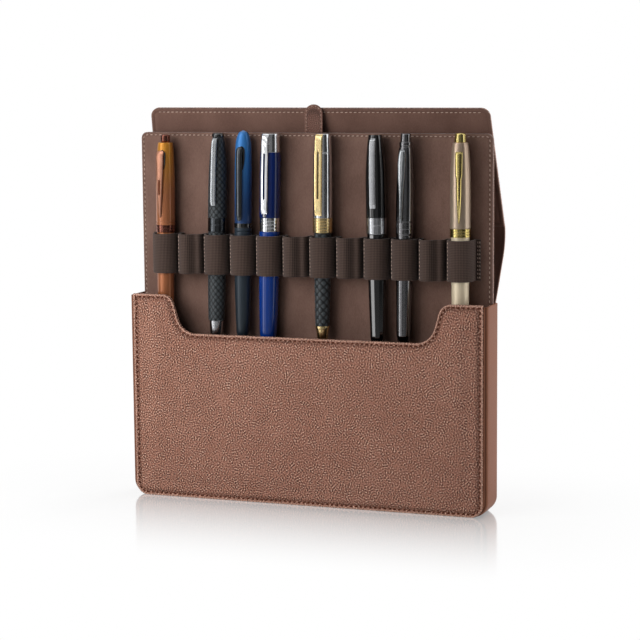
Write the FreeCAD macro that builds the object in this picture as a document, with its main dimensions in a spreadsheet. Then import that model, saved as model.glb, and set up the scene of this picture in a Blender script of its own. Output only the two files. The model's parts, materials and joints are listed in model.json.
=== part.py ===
import FreeCAD, Part
import Sketcher
import math
import os

# Pen case: an open-topped leather box, a board with twelve elastic loops that lifts
# out of it by a tab, a soft flap behind, and the eight pens that stand in the loops.
# The board is shown raised and the flap thrown back, leaning on the board.
# Frame: X to the right, Y from the front face to the back, Z up, in millimetres.
# The origin is on the floor, in the middle of the box's foot.

# Driving sizes of the case
CASE_SIZES = {
    # front panel
    "face_width": 242.0,
    "case_height": 136.7,
    "case_depth": 28.8,
    "skin": 1.2,
    "card": 1.2,
    "lining": 0.6,
    "card_inset": 3.6,
    "lining_inset": 1.5,
    "face_corner": 8.0,
    # notch in the front panel
    "shoulder": 21.0,
    "notch_depth": 25.6,
    "crest_radius": 8.5,
    "valley_radius": 13.0,
    "notch_slope": 16.0,
    # gusset
    "side_bulge": 2.7,
    "gusset_wall": 1.5,
    "gusset_corner": 9.7,
    "gusset_edge": 2.0,
    "gusset_drop": 1.2,
    "back_drop": 2.4,
    "lip_gap": 0.1,
    "base_card": 1.4,
    "base_gap": 0.2,
    # lifting board
    "insert_height": 140.0,
    "insert_raised": 103.6,
    "insert_side_gap": 0.5,
    "insert_back_gap": 2.0,
    "suede": 0.8,
    "insert_card": 2.0,
    "insert_card_inset": 0.8,
    "insert_top_corner": 4.0,
    "insert_foot_corner": 9.0,
    # elastic loops
    "loop_pitch": 18.6,
    "loop_shift": 0.4,
    "loop_drop": 66.8,
    "band_width": 26.5,
    "elastic": 1.1,
    "loop_radius": 7.4,
    "loop_reach": 7.5,
    "loop_split": 0.1,
    "band_end": 2.2,
    # pull tab
    "tab_width": 12.5,
    "tab_skin": 1.4,
    "tab_sewn": 18.0,
    "tab_free": 18.4,
    "tab_split": 0.4,
    # flap
    "hinge_back": 1.1,
    "hinge_rise": 1.3,
    "strip_angle": 30.0,
    "strip_run": 32.5,
    "strip_bend": 25.0,
    "strip_width": 244.4,
    "fold_split": 0.6,
    "flap_tilt": 15.6,
    "flap_length": 79.5,
    "flap_root_width": 243.0,
    "flap_top_width": 235.0,
    "flap_corner": 6.0,
    "flap_card": 0.8,
    "flap_card_inset": 3.0,
    # magnets
    "magnet_radius": 5.0,
    "magnet_thick": 0.8,
    "magnet_fit": 0.1,
    "magnet_spread": 85.0,
    "magnet_height": 54.0,
    "flap_magnet_drop": 10.0,
    # pens
    "spigot_radius": 3.0,
    "spigot_length": 12.0,
    "spigot_fit": 0.05,
    "clip_width": 2.6,
    "clip_thick": 0.8,
    "clip_gap": 0.8,
    "clip_root": 3.0,
    "band_rise": 0.15,
}

LOOP_COUNT = 12

# How far an edge may lie from a plane and still count as lying on it
ON_PLANE = 0.01

# Each pen: the loop it stands in, how far right of the loop's middle it stands, its lean
# to the right and its clip's turn to the left in degrees, then its sizes. "sink" is how far its top lies below the board's top edge,
# and every place along a pen is measured down from that pen's own top.
PENS = {
    "copper_pen": {
        "loop": 1, "shift": -1.0, "lean": 0.9, "clip_turn": 8.0, "sink": 1.3,
        "full_length": 136.3, "cap_length": 64.4, "band_length": 4.6,
        "button_radius": 3.2, "button_length": 5.3, "crown_radius": 4.9, "crown_drop": 26.0,
        "cap_radius": 6.35, "neck_radius": 5.85, "end_radius": 5.3,
        "tip_radius": 4.2, "tip_length": 6.0, "clip_start": 9.6, "clip_length": 45.0,
    },
    "carved_pen": {
        "loop": 3, "shift": -1.3, "lean": 1.5, "clip_turn": 3.0, "sink": 0.3,
        "full_length": 138.8, "cap_length": 64.4, "band_length": 8.6,
        "button_radius": 0.0, "button_length": 0.0, "crown_radius": 3.6, "crown_drop": 30.0,
        "cap_radius": 6.3, "neck_radius": 5.7, "end_radius": 4.4,
        "tip_radius": 1.0, "tip_length": 14.8, "clip_start": 3.6, "clip_length": 43.5,
    },
    "blue_pen": {
        "loop": 4, "shift": -0.3, "lean": 1.0, "clip_turn": 3.0, "sink": -1.6,
        "full_length": 139.7, "cap_length": 65.9, "band_length": 5.3,
        "button_radius": 0.0, "button_length": 0.0, "crown_radius": 1.4, "crown_drop": 15.0,
        "cap_radius": 5.7, "neck_radius": 5.5, "end_radius": 3.9,
        "tip_radius": 2.6, "tip_length": 6.5, "clip_start": 12.0, "clip_length": 42.0,
    },
    "royal_pen": {
        "loop": 5, "shift": 0.5, "lean": 1.4, "clip_turn": 9.0, "sink": 0.1,
        "full_length": 138.0, "cap_length": 63.8, "band_length": 8.8,
        "button_radius": 0.0, "button_length": 0.0, "crown_radius": 5.9, "crown_drop": 20.0,
        "cap_radius": 6.85, "neck_radius": 6.5, "end_radius": 5.5,
        "tip_radius": 3.8, "tip_length": 5.0, "clip_start": 0.4, "clip_length": 52.0,
    },
    "gold_pen": {
        "loop": 7, "shift": 0.4, "lean": 0.6, "clip_turn": 5.0, "sink": 0.0,
        "full_length": 139.1, "cap_length": 64.0, "band_length": 9.4,
        "button_radius": 0.0, "button_length": 0.0, "crown_radius": 5.2, "crown_drop": 12.0,
        "cap_radius": 6.4, "neck_radius": 5.7, "end_radius": 4.6,
        "tip_radius": 1.0, "tip_length": 13.7, "clip_start": 0.4, "clip_length": 52.5,
    },
    "black_pen": {
        "loop": 9, "shift": -0.4, "lean": -0.5, "clip_turn": 0.0, "sink": 0.3,
        "full_length": 137.8, "cap_length": 63.9, "band_length": 10.4,
        "button_radius": 0.0, "button_length": 0.0, "crown_radius": 4.4, "crown_drop": 28.0,
        "cap_radius": 6.7, "neck_radius": 6.2, "end_radius": 4.9,
        "tip_radius": 3.6, "tip_length": 6.5, "clip_start": 2.6, "clip_length": 44.5,
    },
    "grey_pen": {
        "loop": 10, "shift": -0.4, "lean": 0.9, "clip_turn": 6.5, "sink": -0.3,
        "full_length": 139.4, "cap_length": 64.9, "band_length": 6.4,
        "button_radius": 3.5, "button_length": 5.4, "crown_radius": 4.3, "crown_drop": 22.0,
        "cap_radius": 5.85, "neck_radius": 5.5, "end_radius": 4.6,
        "tip_radius": 1.0, "tip_length": 9.5, "clip_start": 9.6, "clip_length": 47.0,
    },
    "champagne_pen": {
        "loop": 12, "shift": 0.6, "lean": 0.0, "clip_turn": -8.0, "sink": -0.8,
        "full_length": 138.4, "cap_length": 65.7, "band_length": 5.2,
        "button_radius": 3.6, "button_length": 6.0, "crown_radius": 5.0, "crown_drop": 20.0,
        "cap_radius": 6.65, "neck_radius": 5.8, "end_radius": 5.2,
        "tip_radius": 4.0, "tip_length": 6.0, "clip_start": 10.8, "clip_length": 46.0,
    },
}


class Measure:
    """A size that knows its number and the formula for it in the sheet's cells."""

    def __init__(self, value, formula):
        self.value = value
        self.formula = formula

    def joined(self, sign, other, value):
        return Measure(value, "(%s %s %s)" % (self.formula, sign, other.formula))

    def __add__(self, other):
        other = measure(other)
        return self.joined("+", other, self.value + other.value)

    def __radd__(self, other):
        return measure(other) + self

    def __sub__(self, other):
        other = measure(other)
        return self.joined("-", other, self.value - other.value)

    def __rsub__(self, other):
        return measure(other) - self

    def __mul__(self, other):
        other = measure(other)
        return self.joined("*", other, self.value * other.value)

    def __rmul__(self, other):
        return measure(other) * self

    def __truediv__(self, other):
        other = measure(other)
        return self.joined("/", other, self.value / other.value)

    def __neg__(self):
        return measure(0) - self


def measure(item):
    """A plain number as a Measure; a Measure stays as it is."""
    if isinstance(item, Measure):
        return item
    return Measure(float(item), "(%.6f)" % item)


def sine(angle):
    return Measure(math.sin(math.radians(angle.value)), "sin(%s * 1 deg)" % angle.formula)


def cosine(angle):
    return Measure(math.cos(math.radians(angle.value)), "cos(%s * 1 deg)" % angle.formula)


def square_root(number):
    return Measure(math.sqrt(number.value), "sqrt(%s)" % number.formula)


# Document and sheet of driving sizes
doc = FreeCAD.newDocument("pen_case")
sheet = doc.addObject("Spreadsheet::Sheet", "Sizes")
cell_values = dict(CASE_SIZES)
for pen_name, pen_sizes in PENS.items():
    for field, value in pen_sizes.items():
        cell_values[pen_name + "_" + field] = value
for row, (alias, value) in enumerate(cell_values.items(), start=1):
    sheet.set("A%d" % row, alias)
    sheet.set("B%d" % row, str(value))
    sheet.setAlias("B%d" % row, alias)
doc.recompute()


def size(alias):
    """The named cell as a Measure."""
    return Measure(cell_values[alias], "Sizes." + alias)


subparts = []


def new_body(label):
    """An empty body for one piece of the case."""
    body = doc.addObject("PartDesign::Body", label)
    body.Label = label
    subparts.append(body)
    return body


def new_sketch(body, role, offset=0):
    """A sketch on one of the body's own planes, moved along +X, +Y or +Z by offset."""
    plane = next(item for item in body.Origin.OriginFeatures if item.Role == role)
    sketch = body.newObject("Sketcher::SketchObject", body.Label + "_sketch")
    sketch.AttachmentSupport = [(plane, "")]
    sketch.MapMode = "FlatFace"
    along_normal = -measure(offset) if role == "XZ_Plane" else measure(offset)
    sketch.setExpression("AttachmentOffset.Base.z", along_normal.formula)
    return sketch


def hold(sketch, kind, *places, distance):
    """Add a dimension and bind it to its formula."""
    index = sketch.addConstraint(Sketcher.Constraint(kind, *places, distance.value))
    sketch.setExpression("Constraints[%d]" % index, distance.formula)


def draw_outline(sketch, path):
    """Draw a closed outline whose points are all dimensioned from the sketch's origin.

    Each step names the point where an edge ends: (x, y) after a straight edge, or
    (x, y, radius, turn) after an arc that turns left (+1) or right (-1) on the way.
    """
    steps = [tuple(measure(item) for item in step[:3]) + tuple(step[3:]) for step in path]
    ends = []
    for before, step in zip([steps[-1]] + steps[:-1], steps):
        start = FreeCAD.Vector(before[0].value, before[1].value, 0)
        end = FreeCAD.Vector(step[0].value, step[1].value, 0)
        if len(step) == 2:
            edge = sketch.addGeometry(Part.LineSegment(start, end))
            ends.append((edge, 1, 2))
            continue
        radius, turn = step[2], step[3]
        chord = end - start
        left = FreeCAD.Vector(-chord.y, chord.x, 0).normalize()
        rise = math.sqrt(max(radius.value ** 2 - chord.Length ** 2 / 4, 0))
        middle = (start + end) / 2 + left * (turn * (rise - radius.value))
        first, last = (start, end) if turn > 0 else (end, start)
        edge = sketch.addGeometry(Part.Arc(first, middle, last))
        ends.append((edge, 1, 2) if turn > 0 else (edge, 2, 1))
    for before, here in zip([ends[-1]] + ends[:-1], ends):
        sketch.addConstraint(Sketcher.Constraint("Coincident", before[0], before[2], here[0], here[1]))
    for step, (edge, _, finish) in zip(steps, ends):
        hold(sketch, "DistanceX", -1, 1, edge, finish, distance=step[0])
        hold(sketch, "DistanceY", -1, 1, edge, finish, distance=step[1])
        if len(step) > 2:
            hold(sketch, "Radius", edge, distance=step[2])


def draw_circle(sketch, across, up, radius):
    """Draw a dimensioned circle."""
    across, up, radius = measure(across), measure(up), measure(radius)
    centre = FreeCAD.Vector(across.value, up.value, 0)
    edge = sketch.addGeometry(Part.Circle(centre, FreeCAD.Vector(0, 0, 1), radius.value))
    hold(sketch, "DistanceX", -1, 1, edge, 3, distance=across)
    hold(sketch, "DistanceY", -1, 1, edge, 3, distance=up)
    hold(sketch, "Radius", edge, distance=radius)


def pad(body, sketch, length, reverse=False, midplane=False):
    """Thicken a sketch into the body."""
    feature = body.newObject("PartDesign::Pad", body.Label + "_pad")
    feature.Profile = sketch
    feature.setExpression("Length", measure(length).formula)
    feature.Reversed = reverse
    if midplane:
        feature.SideType = "Symmetric"
    return feature


def plate(label, path, front, thick):
    """A flat piece seen from the front: its outline, its front face's Y and its thickness."""
    body = new_body(label)
    sketch = new_sketch(body, "XZ_Plane", front)
    draw_outline(sketch, path)
    pad(body, sketch, thick, reverse=True)
    return body, sketch


def revolve(body, path):
    """Spin a half section about the body's Z axis."""
    sketch = new_sketch(body, "XZ_Plane")
    draw_outline(sketch, path)
    feature = body.newObject("PartDesign::Revolution", body.Label + "_turned")
    feature.Profile = sketch
    feature.ReferenceAxis = (sketch, ["V_Axis"])
    feature.Angle = 360.0
    return feature


def rounded_plate(half_width, bottom, top, bottom_corner, top_corner):
    """Outline of a symmetric plate with rounded corners, anticlockwise from its foot."""
    return [
        (half_width - bottom_corner, bottom),
        (half_width, bottom + bottom_corner, bottom_corner, 1),
        (half_width, top - top_corner),
        (half_width - top_corner, top, top_corner, 1),
        (top_corner - half_width, top),
        (-half_width, top - top_corner, top_corner, 1),
        (-half_width, bottom + bottom_corner),
        (bottom_corner - half_width, bottom, bottom_corner, 1),
    ]


# Depths through the case, from the front face to the back
front_leather_y = -size("case_depth") / 2
front_card_y = front_leather_y + size("skin")
front_lining_y = front_card_y + size("card")
room_front_y = front_lining_y + size("lining")
back_leather_y = size("case_depth") / 2 - size("skin")
back_card_y = back_leather_y - size("card")
back_lining_y = back_card_y - size("lining")
insert_thick = size("suede") + size("insert_card") + size("skin")
insert_back_y = back_lining_y - size("insert_back_gap")
insert_front_y = insert_back_y - insert_thick

# Heights
back_top = size("case_height") - size("back_drop")
insert_top = size("insert_raised") + size("insert_height")
gusset_half = size("face_width") / 2 + size("side_bulge")


def notched_outline(inset):
    """The front panel's outline, moved inwards: a notch with two S curves in its top edge."""
    half = size("face_width") / 2 - inset
    corner = size("face_corner") - inset
    top = size("case_height") - inset
    floor = size("case_height") - size("notch_depth") - inset
    side, down = cosine(size("notch_slope")), sine(size("notch_slope"))
    crest, valley = size("crest_radius") - inset, size("valley_radius") + inset
    crest_x = size("face_width") / 2 - size("shoulder")
    crest_z = size("case_height") - size("crest_radius")
    valley_z = size("case_height") - size("notch_depth") + size("valley_radius")
    slope_start = (crest_x - crest * side, crest_z + crest * down)
    slope_foot_z = valley_z - valley * down
    straight_drop = slope_start[1] - slope_foot_z
    valley_x = slope_start[0] - straight_drop * down / side - valley * side
    slope_foot_x = valley_x + valley * side
    return [
        (half - corner, inset),
        (half, inset + corner, corner, 1),
        (half, top),
        (crest_x, top),
        (slope_start[0], slope_start[1], crest, 1),
        (slope_foot_x, slope_foot_z),
        (valley_x, floor, valley, -1),
        (-valley_x, floor),
        (-slope_foot_x, slope_foot_z, valley, -1),
        (-slope_start[0], slope_start[1]),
        (-crest_x, top, crest, 1),
        (-half, top),
        (-half, inset + corner),
        (corner - half, inset, corner, 1),
    ]


def back_outline(inset):
    """The back panel's outline, moved inwards, with square upper corners."""
    half = size("face_width") / 2 - inset
    corner = size("face_corner") - inset
    top = back_top - inset
    return [
        (half - corner, inset),
        (half, inset + corner, corner, 1),
        (half, top),
        (-half, top),
        (-half, inset + corner),
        (corner - half, inset, corner, 1),
    ]


def make_front_panel():
    """Pebbled leather over a card, with a thin lining inside the box."""
    plate("front_leather", notched_outline(measure(0)), front_leather_y, size("skin"))
    _, sketch = plate("front_card", notched_outline(size("card_inset")), front_card_y, size("card"))
    for side in (-1, 1):
        draw_circle(sketch, side * size("magnet_spread"), size("magnet_height"),
                    size("magnet_radius") + size("magnet_fit"))
    plate("front_lining", notched_outline(size("lining_inset")), front_lining_y, size("lining"))


def make_back_panel():
    """The same three layers behind, with a straight top edge."""
    plate("back_leather", back_outline(measure(0)), back_leather_y, size("skin"))
    plate("back_card", back_outline(size("card_inset")), back_card_y, size("card"))
    plate("back_lining", back_outline(size("lining_inset")), back_lining_y, size("lining"))


def gusset_outline(wall_side, wall_foot, inner_corner):
    """A U seen from the front: the thickness of its sides and foot, and its inner corners."""
    top = size("case_height") - size("gusset_drop")
    corner = size("gusset_corner")
    inner_x = gusset_half - wall_side
    return [
        (gusset_half - corner, 0),
        (gusset_half, corner, corner, 1),
        (gusset_half, top),
        (inner_x, top),
        (inner_x, wall_foot + inner_corner),
        (inner_x - inner_corner, wall_foot, inner_corner, -1),
        (inner_corner - inner_x, wall_foot),
        (-inner_x, wall_foot + inner_corner, inner_corner, -1),
        (-inner_x, top),
        (-gusset_half, top),
        (-gusset_half, corner),
        (corner - gusset_half, 0, corner, 1),
    ]


def make_gusset():
    """One leather strip round the sides and foot, with lips sewn behind the two panels."""
    body = new_body("gusset")
    lip_side = size("side_bulge") + size("card_inset") - size("lip_gap")
    lip_foot = size("card_inset") - size("lip_gap")
    lip_corner = size("face_corner") - size("card_inset") + size("lip_gap")
    lip = gusset_outline(lip_side, lip_foot, lip_corner)
    wall_corner = size("gusset_corner") - size("gusset_wall")
    wall = gusset_outline(size("gusset_wall"), size("gusset_wall"), wall_corner)
    spans = (
        (lip, front_card_y, size("card")),
        (wall, front_lining_y, back_card_y - front_lining_y),
        (lip, back_card_y, size("card")),
    )
    for path, start, length in spans:
        sketch = new_sketch(body, "XZ_Plane", start)
        draw_outline(sketch, path)
        last = pad(body, sketch, length, reverse=True)
    doc.recompute()
    edges = []
    half, corner = gusset_half.value, CASE_SIZES["gusset_corner"]
    for number, edge in enumerate(last.Shape.Edges, start=1):
        box = edge.BoundBox
        rims = (front_card_y.value, back_leather_y.value)
        on_rim = box.YLength < ON_PLANE and min(abs(box.YMin - rim) for rim in rims) < ON_PLANE
        outside = max(abs(box.XMin), abs(box.XMax)) > half - ON_PLANE or box.ZMax < ON_PLANE
        if on_rim and outside and max(box.XLength, box.ZLength) > corner / 2:
            edges.append("Edge%d" % number)
    soft = body.newObject("PartDesign::Fillet", "gusset_soft_edge")
    soft.Base = (last, edges)
    soft.setExpression("Radius", size("gusset_edge").formula)


def make_base_card():
    """A stiff card that lies in the foot of the box."""
    body = new_body("base_card")
    sketch = new_sketch(body, "XY_Plane", size("gusset_wall"))
    half = gusset_half - size("gusset_corner")
    front, back = room_front_y + size("base_gap"), back_lining_y - size("base_gap")
    draw_outline(sketch, [(half, front), (half, back), (-half, back), (-half, front)])
    pad(body, sketch, size("base_card"))


def make_insert():
    """Suede, card and leather make the board that carries the loops."""
    half = gusset_half - size("gusset_wall") - size("insert_side_gap")
    foot, top = size("insert_raised"), insert_top
    low, high = size("insert_foot_corner"), size("insert_top_corner")
    inset = size("insert_card_inset")
    full = rounded_plate(half, foot, top, low, high)
    inner = rounded_plate(half - inset, foot + inset, top - inset, low - inset, high - inset)
    card_y = insert_front_y + size("suede")
    skin_y = card_y + size("insert_card")
    plate("insert_suede", full, insert_front_y, size("suede"))
    plate("insert_card", inner, card_y, size("insert_card"))
    plate("insert_leather", full, skin_y, size("skin"))


def make_pull_tab():
    """A leather tab: its root is sewn to the board's back, its rounded end is free."""
    half = size("tab_width") / 2
    root_foot = insert_top - size("tab_sewn")
    root = [(half, root_foot), (half, insert_top), (-half, insert_top), (-half, root_foot)]
    plate("pull_tab_root", root, insert_back_y, size("tab_skin"))
    foot, spring = insert_top + size("tab_split"), insert_top + size("tab_free") - half
    free = [
        (half, foot),
        (half, spring),
        (0, spring + half, half, 1),
        (-half, spring, half, 1),
        (-half, foot),
    ]
    plate("pull_tab", free, insert_back_y, size("tab_skin"))


def loop_centre(number):
    """The X of a loop's middle, counted from the left."""
    return (number - (LOOP_COUNT + 1) / 2) * size("loop_pitch") + size("loop_shift")


def make_elastic_loops():
    """One stretch of the elastic band per pen: a round front, straight sides, sewn feet."""
    inner = size("loop_radius")
    outer = inner + size("elastic")
    axis_y = insert_front_y - size("loop_reach")
    sole = insert_front_y - size("elastic")
    reach = (size("loop_pitch") - size("loop_split")) / 2
    for number in range(1, LOOP_COUNT + 1):
        left = reach + size("band_end") if number == 1 else reach
        right = reach + size("band_end") if number == LOOP_COUNT else reach
        body = new_body("elastic_loop_%02d" % number)
        body.setExpression("Placement.Base.x", loop_centre(number).formula)
        sketch = new_sketch(body, "XY_Plane", insert_top - size("loop_drop") - size("band_width"))
        draw_outline(sketch, [
            (right, insert_front_y),
            (inner, insert_front_y),
            (inner, axis_y),
            (0, axis_y - inner, inner, -1),
            (-inner, axis_y, inner, -1),
            (-inner, insert_front_y),
            (-left, insert_front_y),
            (-left, sole),
            (-outer, sole),
            (-outer, axis_y),
            (0, axis_y - outer, outer, 1),
            (outer, axis_y, outer, 1),
            (outer, sole),
            (right, sole),
        ])
        pad(body, sketch, size("band_width"))


# The flap's hinge line and fold line in the YZ plane
hinge_y = size("case_depth") / 2 + size("hinge_back")
hinge_z = back_top + size("hinge_rise")
run_y, run_z = sine(size("strip_angle")), cosine(size("strip_angle"))
tilt_y, tilt_z = -sine(size("flap_tilt")), cosine(size("flap_tilt"))
bend_start_y = hinge_y + size("strip_run") * run_y
bend_start_z = hinge_z + size("strip_run") * run_z
fold_y = bend_start_y + size("strip_bend") * (tilt_z - run_z)
fold_z = bend_start_z + size("strip_bend") * (run_y - tilt_y)


def make_flap_strip():
    """Unstiffened leather and suede: a straight run up from the hinge, then the bulge."""
    body = new_body("flap_strip")
    half = (size("skin") + size("suede")) / 2
    outer_bend, inner_bend = size("strip_bend") + half, size("strip_bend") - half
    root_y, root_z = hinge_y + size("fold_split") * run_y, hinge_z + size("fold_split") * run_z
    sketch = new_sketch(body, "YZ_Plane")
    draw_outline(sketch, [
        (root_y + half * run_z, root_z - half * run_y),
        (bend_start_y + half * run_z, bend_start_z - half * run_y),
        (fold_y + half * tilt_z, fold_z - half * tilt_y, outer_bend, 1),
        (fold_y - half * tilt_z, fold_z + half * tilt_y),
        (bend_start_y - half * run_z, bend_start_z + half * run_y, inner_bend, -1),
        (root_y - half * run_z, root_z + half * run_y),
    ])
    pad(body, sketch, size("strip_width"), midplane=True)


def flap_outline(inset):
    """The stiff half of the flap: it narrows towards its rounded free corners."""
    root, top = size("flap_root_width") / 2 - inset, size("flap_top_width") / 2 - inset
    corner = size("flap_corner") - inset
    foot, end = size("fold_split") + inset, size("flap_length") - inset
    return [
        (root, foot),
        (top, end - corner),
        (top - corner, end, corner, 1),
        (corner - top, end),
        (-top, end - corner, corner, 1),
        (-root, foot),
    ]


def lean_on_board(body):
    """Stand a flap piece on the fold line, tilted forward."""
    body.Placement = FreeCAD.Placement(
        FreeCAD.Vector(0, fold_y.value, fold_z.value),
        FreeCAD.Rotation(FreeCAD.Vector(1, 0, 0), CASE_SIZES["flap_tilt"]))
    body.setExpression("Placement.Base.y", fold_y.formula)
    body.setExpression("Placement.Base.z", fold_z.formula)
    body.setExpression("Placement.Rotation.Angle", size("flap_tilt").formula)


def make_flap_panel():
    """Suede inside, a thin card with two magnets, leather outside."""
    card_y = -size("flap_card") / 2
    suede_y = card_y - size("suede")
    leather_y = card_y + size("flap_card")
    suede, _ = plate("flap_suede", flap_outline(measure(0)), suede_y, size("suede"))
    card, sketch = plate("flap_card", flap_outline(size("flap_card_inset")), card_y, size("flap_card"))
    leather, _ = plate("flap_leather", flap_outline(measure(0)), leather_y, size("skin"))
    for side in (-1, 1):
        draw_circle(sketch, side * size("magnet_spread"), size("flap_length") - size("flap_magnet_drop"),
                    size("magnet_radius") + size("magnet_fit"))
    for body in (suede, card, leather):
        lean_on_board(body)


def make_magnet_pair(label, front, height):
    """Two flat discs, side by side."""
    body = new_body(label)
    body.AllowCompound = True
    sketch = new_sketch(body, "XZ_Plane", front)
    for side in (-1, 1):
        draw_circle(sketch, side * size("magnet_spread"), height, size("magnet_radius"))
    pad(body, sketch, size("magnet_thick"), reverse=True)
    return body


def make_magnets():
    """One pair in the front card, one pair in the flap's card."""
    make_magnet_pair("front_magnets", front_card_y, size("magnet_height"))
    flap_pair = make_magnet_pair(
        "flap_magnets", -size("flap_card") / 2, size("flap_length") - size("flap_magnet_drop"))
    lean_on_board(flap_pair)


def stand_pen(body, pen_name):
    """Put a pen's piece on its loop's axis, moved by its shift and turned by its lean."""
    lean = size(pen_name + "_lean")
    centre = loop_centre(PENS[pen_name]["loop"]) + size(pen_name + "_shift")
    axis_y = insert_front_y - size("loop_reach")
    middle = insert_top - size("loop_drop") - size("band_width") / 2
    body.Placement = FreeCAD.Placement(
        FreeCAD.Vector(centre.value, axis_y.value, 0),
        FreeCAD.Rotation(FreeCAD.Vector(0, 1, 0), lean.value))
    body.setExpression("Placement.Base.x", (centre - middle * sine(lean)).formula)
    body.setExpression("Placement.Base.y", axis_y.formula)
    body.setExpression("Placement.Base.z", (middle - middle * cosine(lean)).formula)
    body.setExpression("Placement.Rotation.Angle", lean.formula)


def curve_radius(along, inward):
    """The radius of an arc that starts straight along the pen and ends so far inward."""
    return (along * along + inward * inward) / (2 * inward)


def drawn_in(radius, along):
    """How far such an arc has come inward after a length along the pen."""
    if along.value <= 0:
        return measure(0)
    return radius - square_root(radius * radius - along * along)


def make_pen(pen_name):
    """A cap with its clip, and a barrel whose spigot fits in the cap."""

    def own(field):
        return size(pen_name + "_" + field)

    top = insert_top - own("sink")
    crown_top = top - own("button_length")
    shoulder = crown_top - own("crown_drop")
    cap_end = top - own("cap_length")
    band_top, band_radius = cap_end + own("band_length"), own("cap_radius") + size("band_rise")
    spigot, bore = size("spigot_radius"), size("spigot_radius") + size("spigot_fit")
    spigot_top = cap_end + size("spigot_length")
    bore_top = spigot_top + size("spigot_fit")
    crown = curve_radius(own("crown_drop"), own("cap_radius") - own("crown_radius"))
    button = [(own("button_radius"), crown_top), (own("button_radius"), top)]
    cap = new_body(pen_name + "_cap")
    revolve(cap, [
        (0, top),
        (0, bore_top),
        (bore, bore_top),
        (bore, cap_end),
        (band_radius, cap_end),
        (band_radius, band_top),
        (own("cap_radius"), band_top),
        (own("cap_radius"), shoulder),
        (own("crown_radius"), crown_top, crown, 1),
    ] + (button if own("button_length").value > 0 else []))

    tip_end = top - own("full_length")
    taper_end = tip_end + own("tip_length")
    taper = curve_radius(cap_end - taper_end, own("neck_radius") - own("end_radius"))
    barrel = new_body(pen_name + "_barrel")
    revolve(barrel, [
        (0, spigot_top),
        (0, tip_end),
        (own("tip_radius"), tip_end),
        (own("end_radius"), taper_end),
        (own("neck_radius"), cap_end, taper, 1),
        (spigot, cap_end),
        (spigot, spigot_top),
    ])

    clip = new_body(pen_name + "_clip")
    sketch = new_sketch(clip, "YZ_Plane")
    sketch.AttachmentOffset = FreeCAD.Placement(
        FreeCAD.Vector(0, 0, 0), FreeCAD.Rotation(FreeCAD.Vector(0, 1, 0), -own("clip_turn").value))
    sketch.setExpression("AttachmentOffset.Rotation.Angle", (-own("clip_turn")).formula)
    clip_top = top - own("clip_start")
    clip_end = clip_top - own("clip_length")
    seat = drawn_in(crown, clip_top - size("clip_root") - shoulder) - own("cap_radius")
    arm_back = -own("cap_radius") - size("clip_gap")
    arm_front = arm_back - size("clip_thick")
    draw_outline(sketch, [
        (seat, clip_top),
        (arm_front, clip_top),
        (arm_front, clip_end),
        (arm_back, clip_end),
        (arm_back, clip_top - size("clip_root")),
        (seat, clip_top - size("clip_root")),
    ])
    pad(clip, sketch, size("clip_width"), midplane=True)
    for body in (cap, barrel, clip):
        stand_pen(body, pen_name)


def make_all():
    """Build every piece, from the box outwards."""
    make_front_panel()
    make_back_panel()
    make_gusset()
    make_base_card()
    make_insert()
    make_pull_tab()
    make_elastic_loops()
    make_flap_strip()
    make_flap_panel()
    make_magnets()
    for pen_name in PENS:
        make_pen(pen_name)
    doc.recompute()


def check_all():
    """Stop if any object failed or any piece has no sound solid."""
    for item in doc.Objects:
        if "Invalid" in item.State or "Error" in item.State:
            raise RuntimeError("failed object: " + item.Label)
    for body in subparts:
        if body.Shape.isNull() or not body.Shape.isValid() or not body.Shape.Solids:
            raise RuntimeError("unsound piece: " + body.Label)


make_all()
check_all()
os.makedirs("parts", exist_ok=True)
for body in subparts:
    body.Shape.exportStep("parts/%s.step" % body.Label)
    box = body.Shape.BoundBox
    print("%-22s %9.1f mm3  X %.1f %.1f  Y %.1f %.1f  Z %.1f %.1f" % (
        body.Label, body.Shape.Volume, box.XMin, box.XMax, box.YMin, box.YMax, box.ZMin, box.ZMax))
print(len(subparts), "pieces; hinge", round(hinge_y.value, 3), round(hinge_z.value, 3),
      "fold", round(fold_y.value, 3), round(fold_z.value, 3), "board top", insert_top.value)
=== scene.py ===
# %% [markdown]
# # A leather pen case, finished in Blender
# The real case is a flat leather box with a notched front. A suede board with elastic pen
# loops lifts out of it, and a soft flap folds over the top. The CAD frame already holds
# every piece at its real size and every joint, so this lesson only dresses it: each soft
# piece gets a worked surface, each pen its turned and shaped metal, and everything gets
# a finish made of nodes. Sizes are written in millimetres and turned into metres once.

# %% The frame
import json
import math

import bmesh
import bpy
import numpy as np
from mathutils import Matrix, Vector


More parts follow.
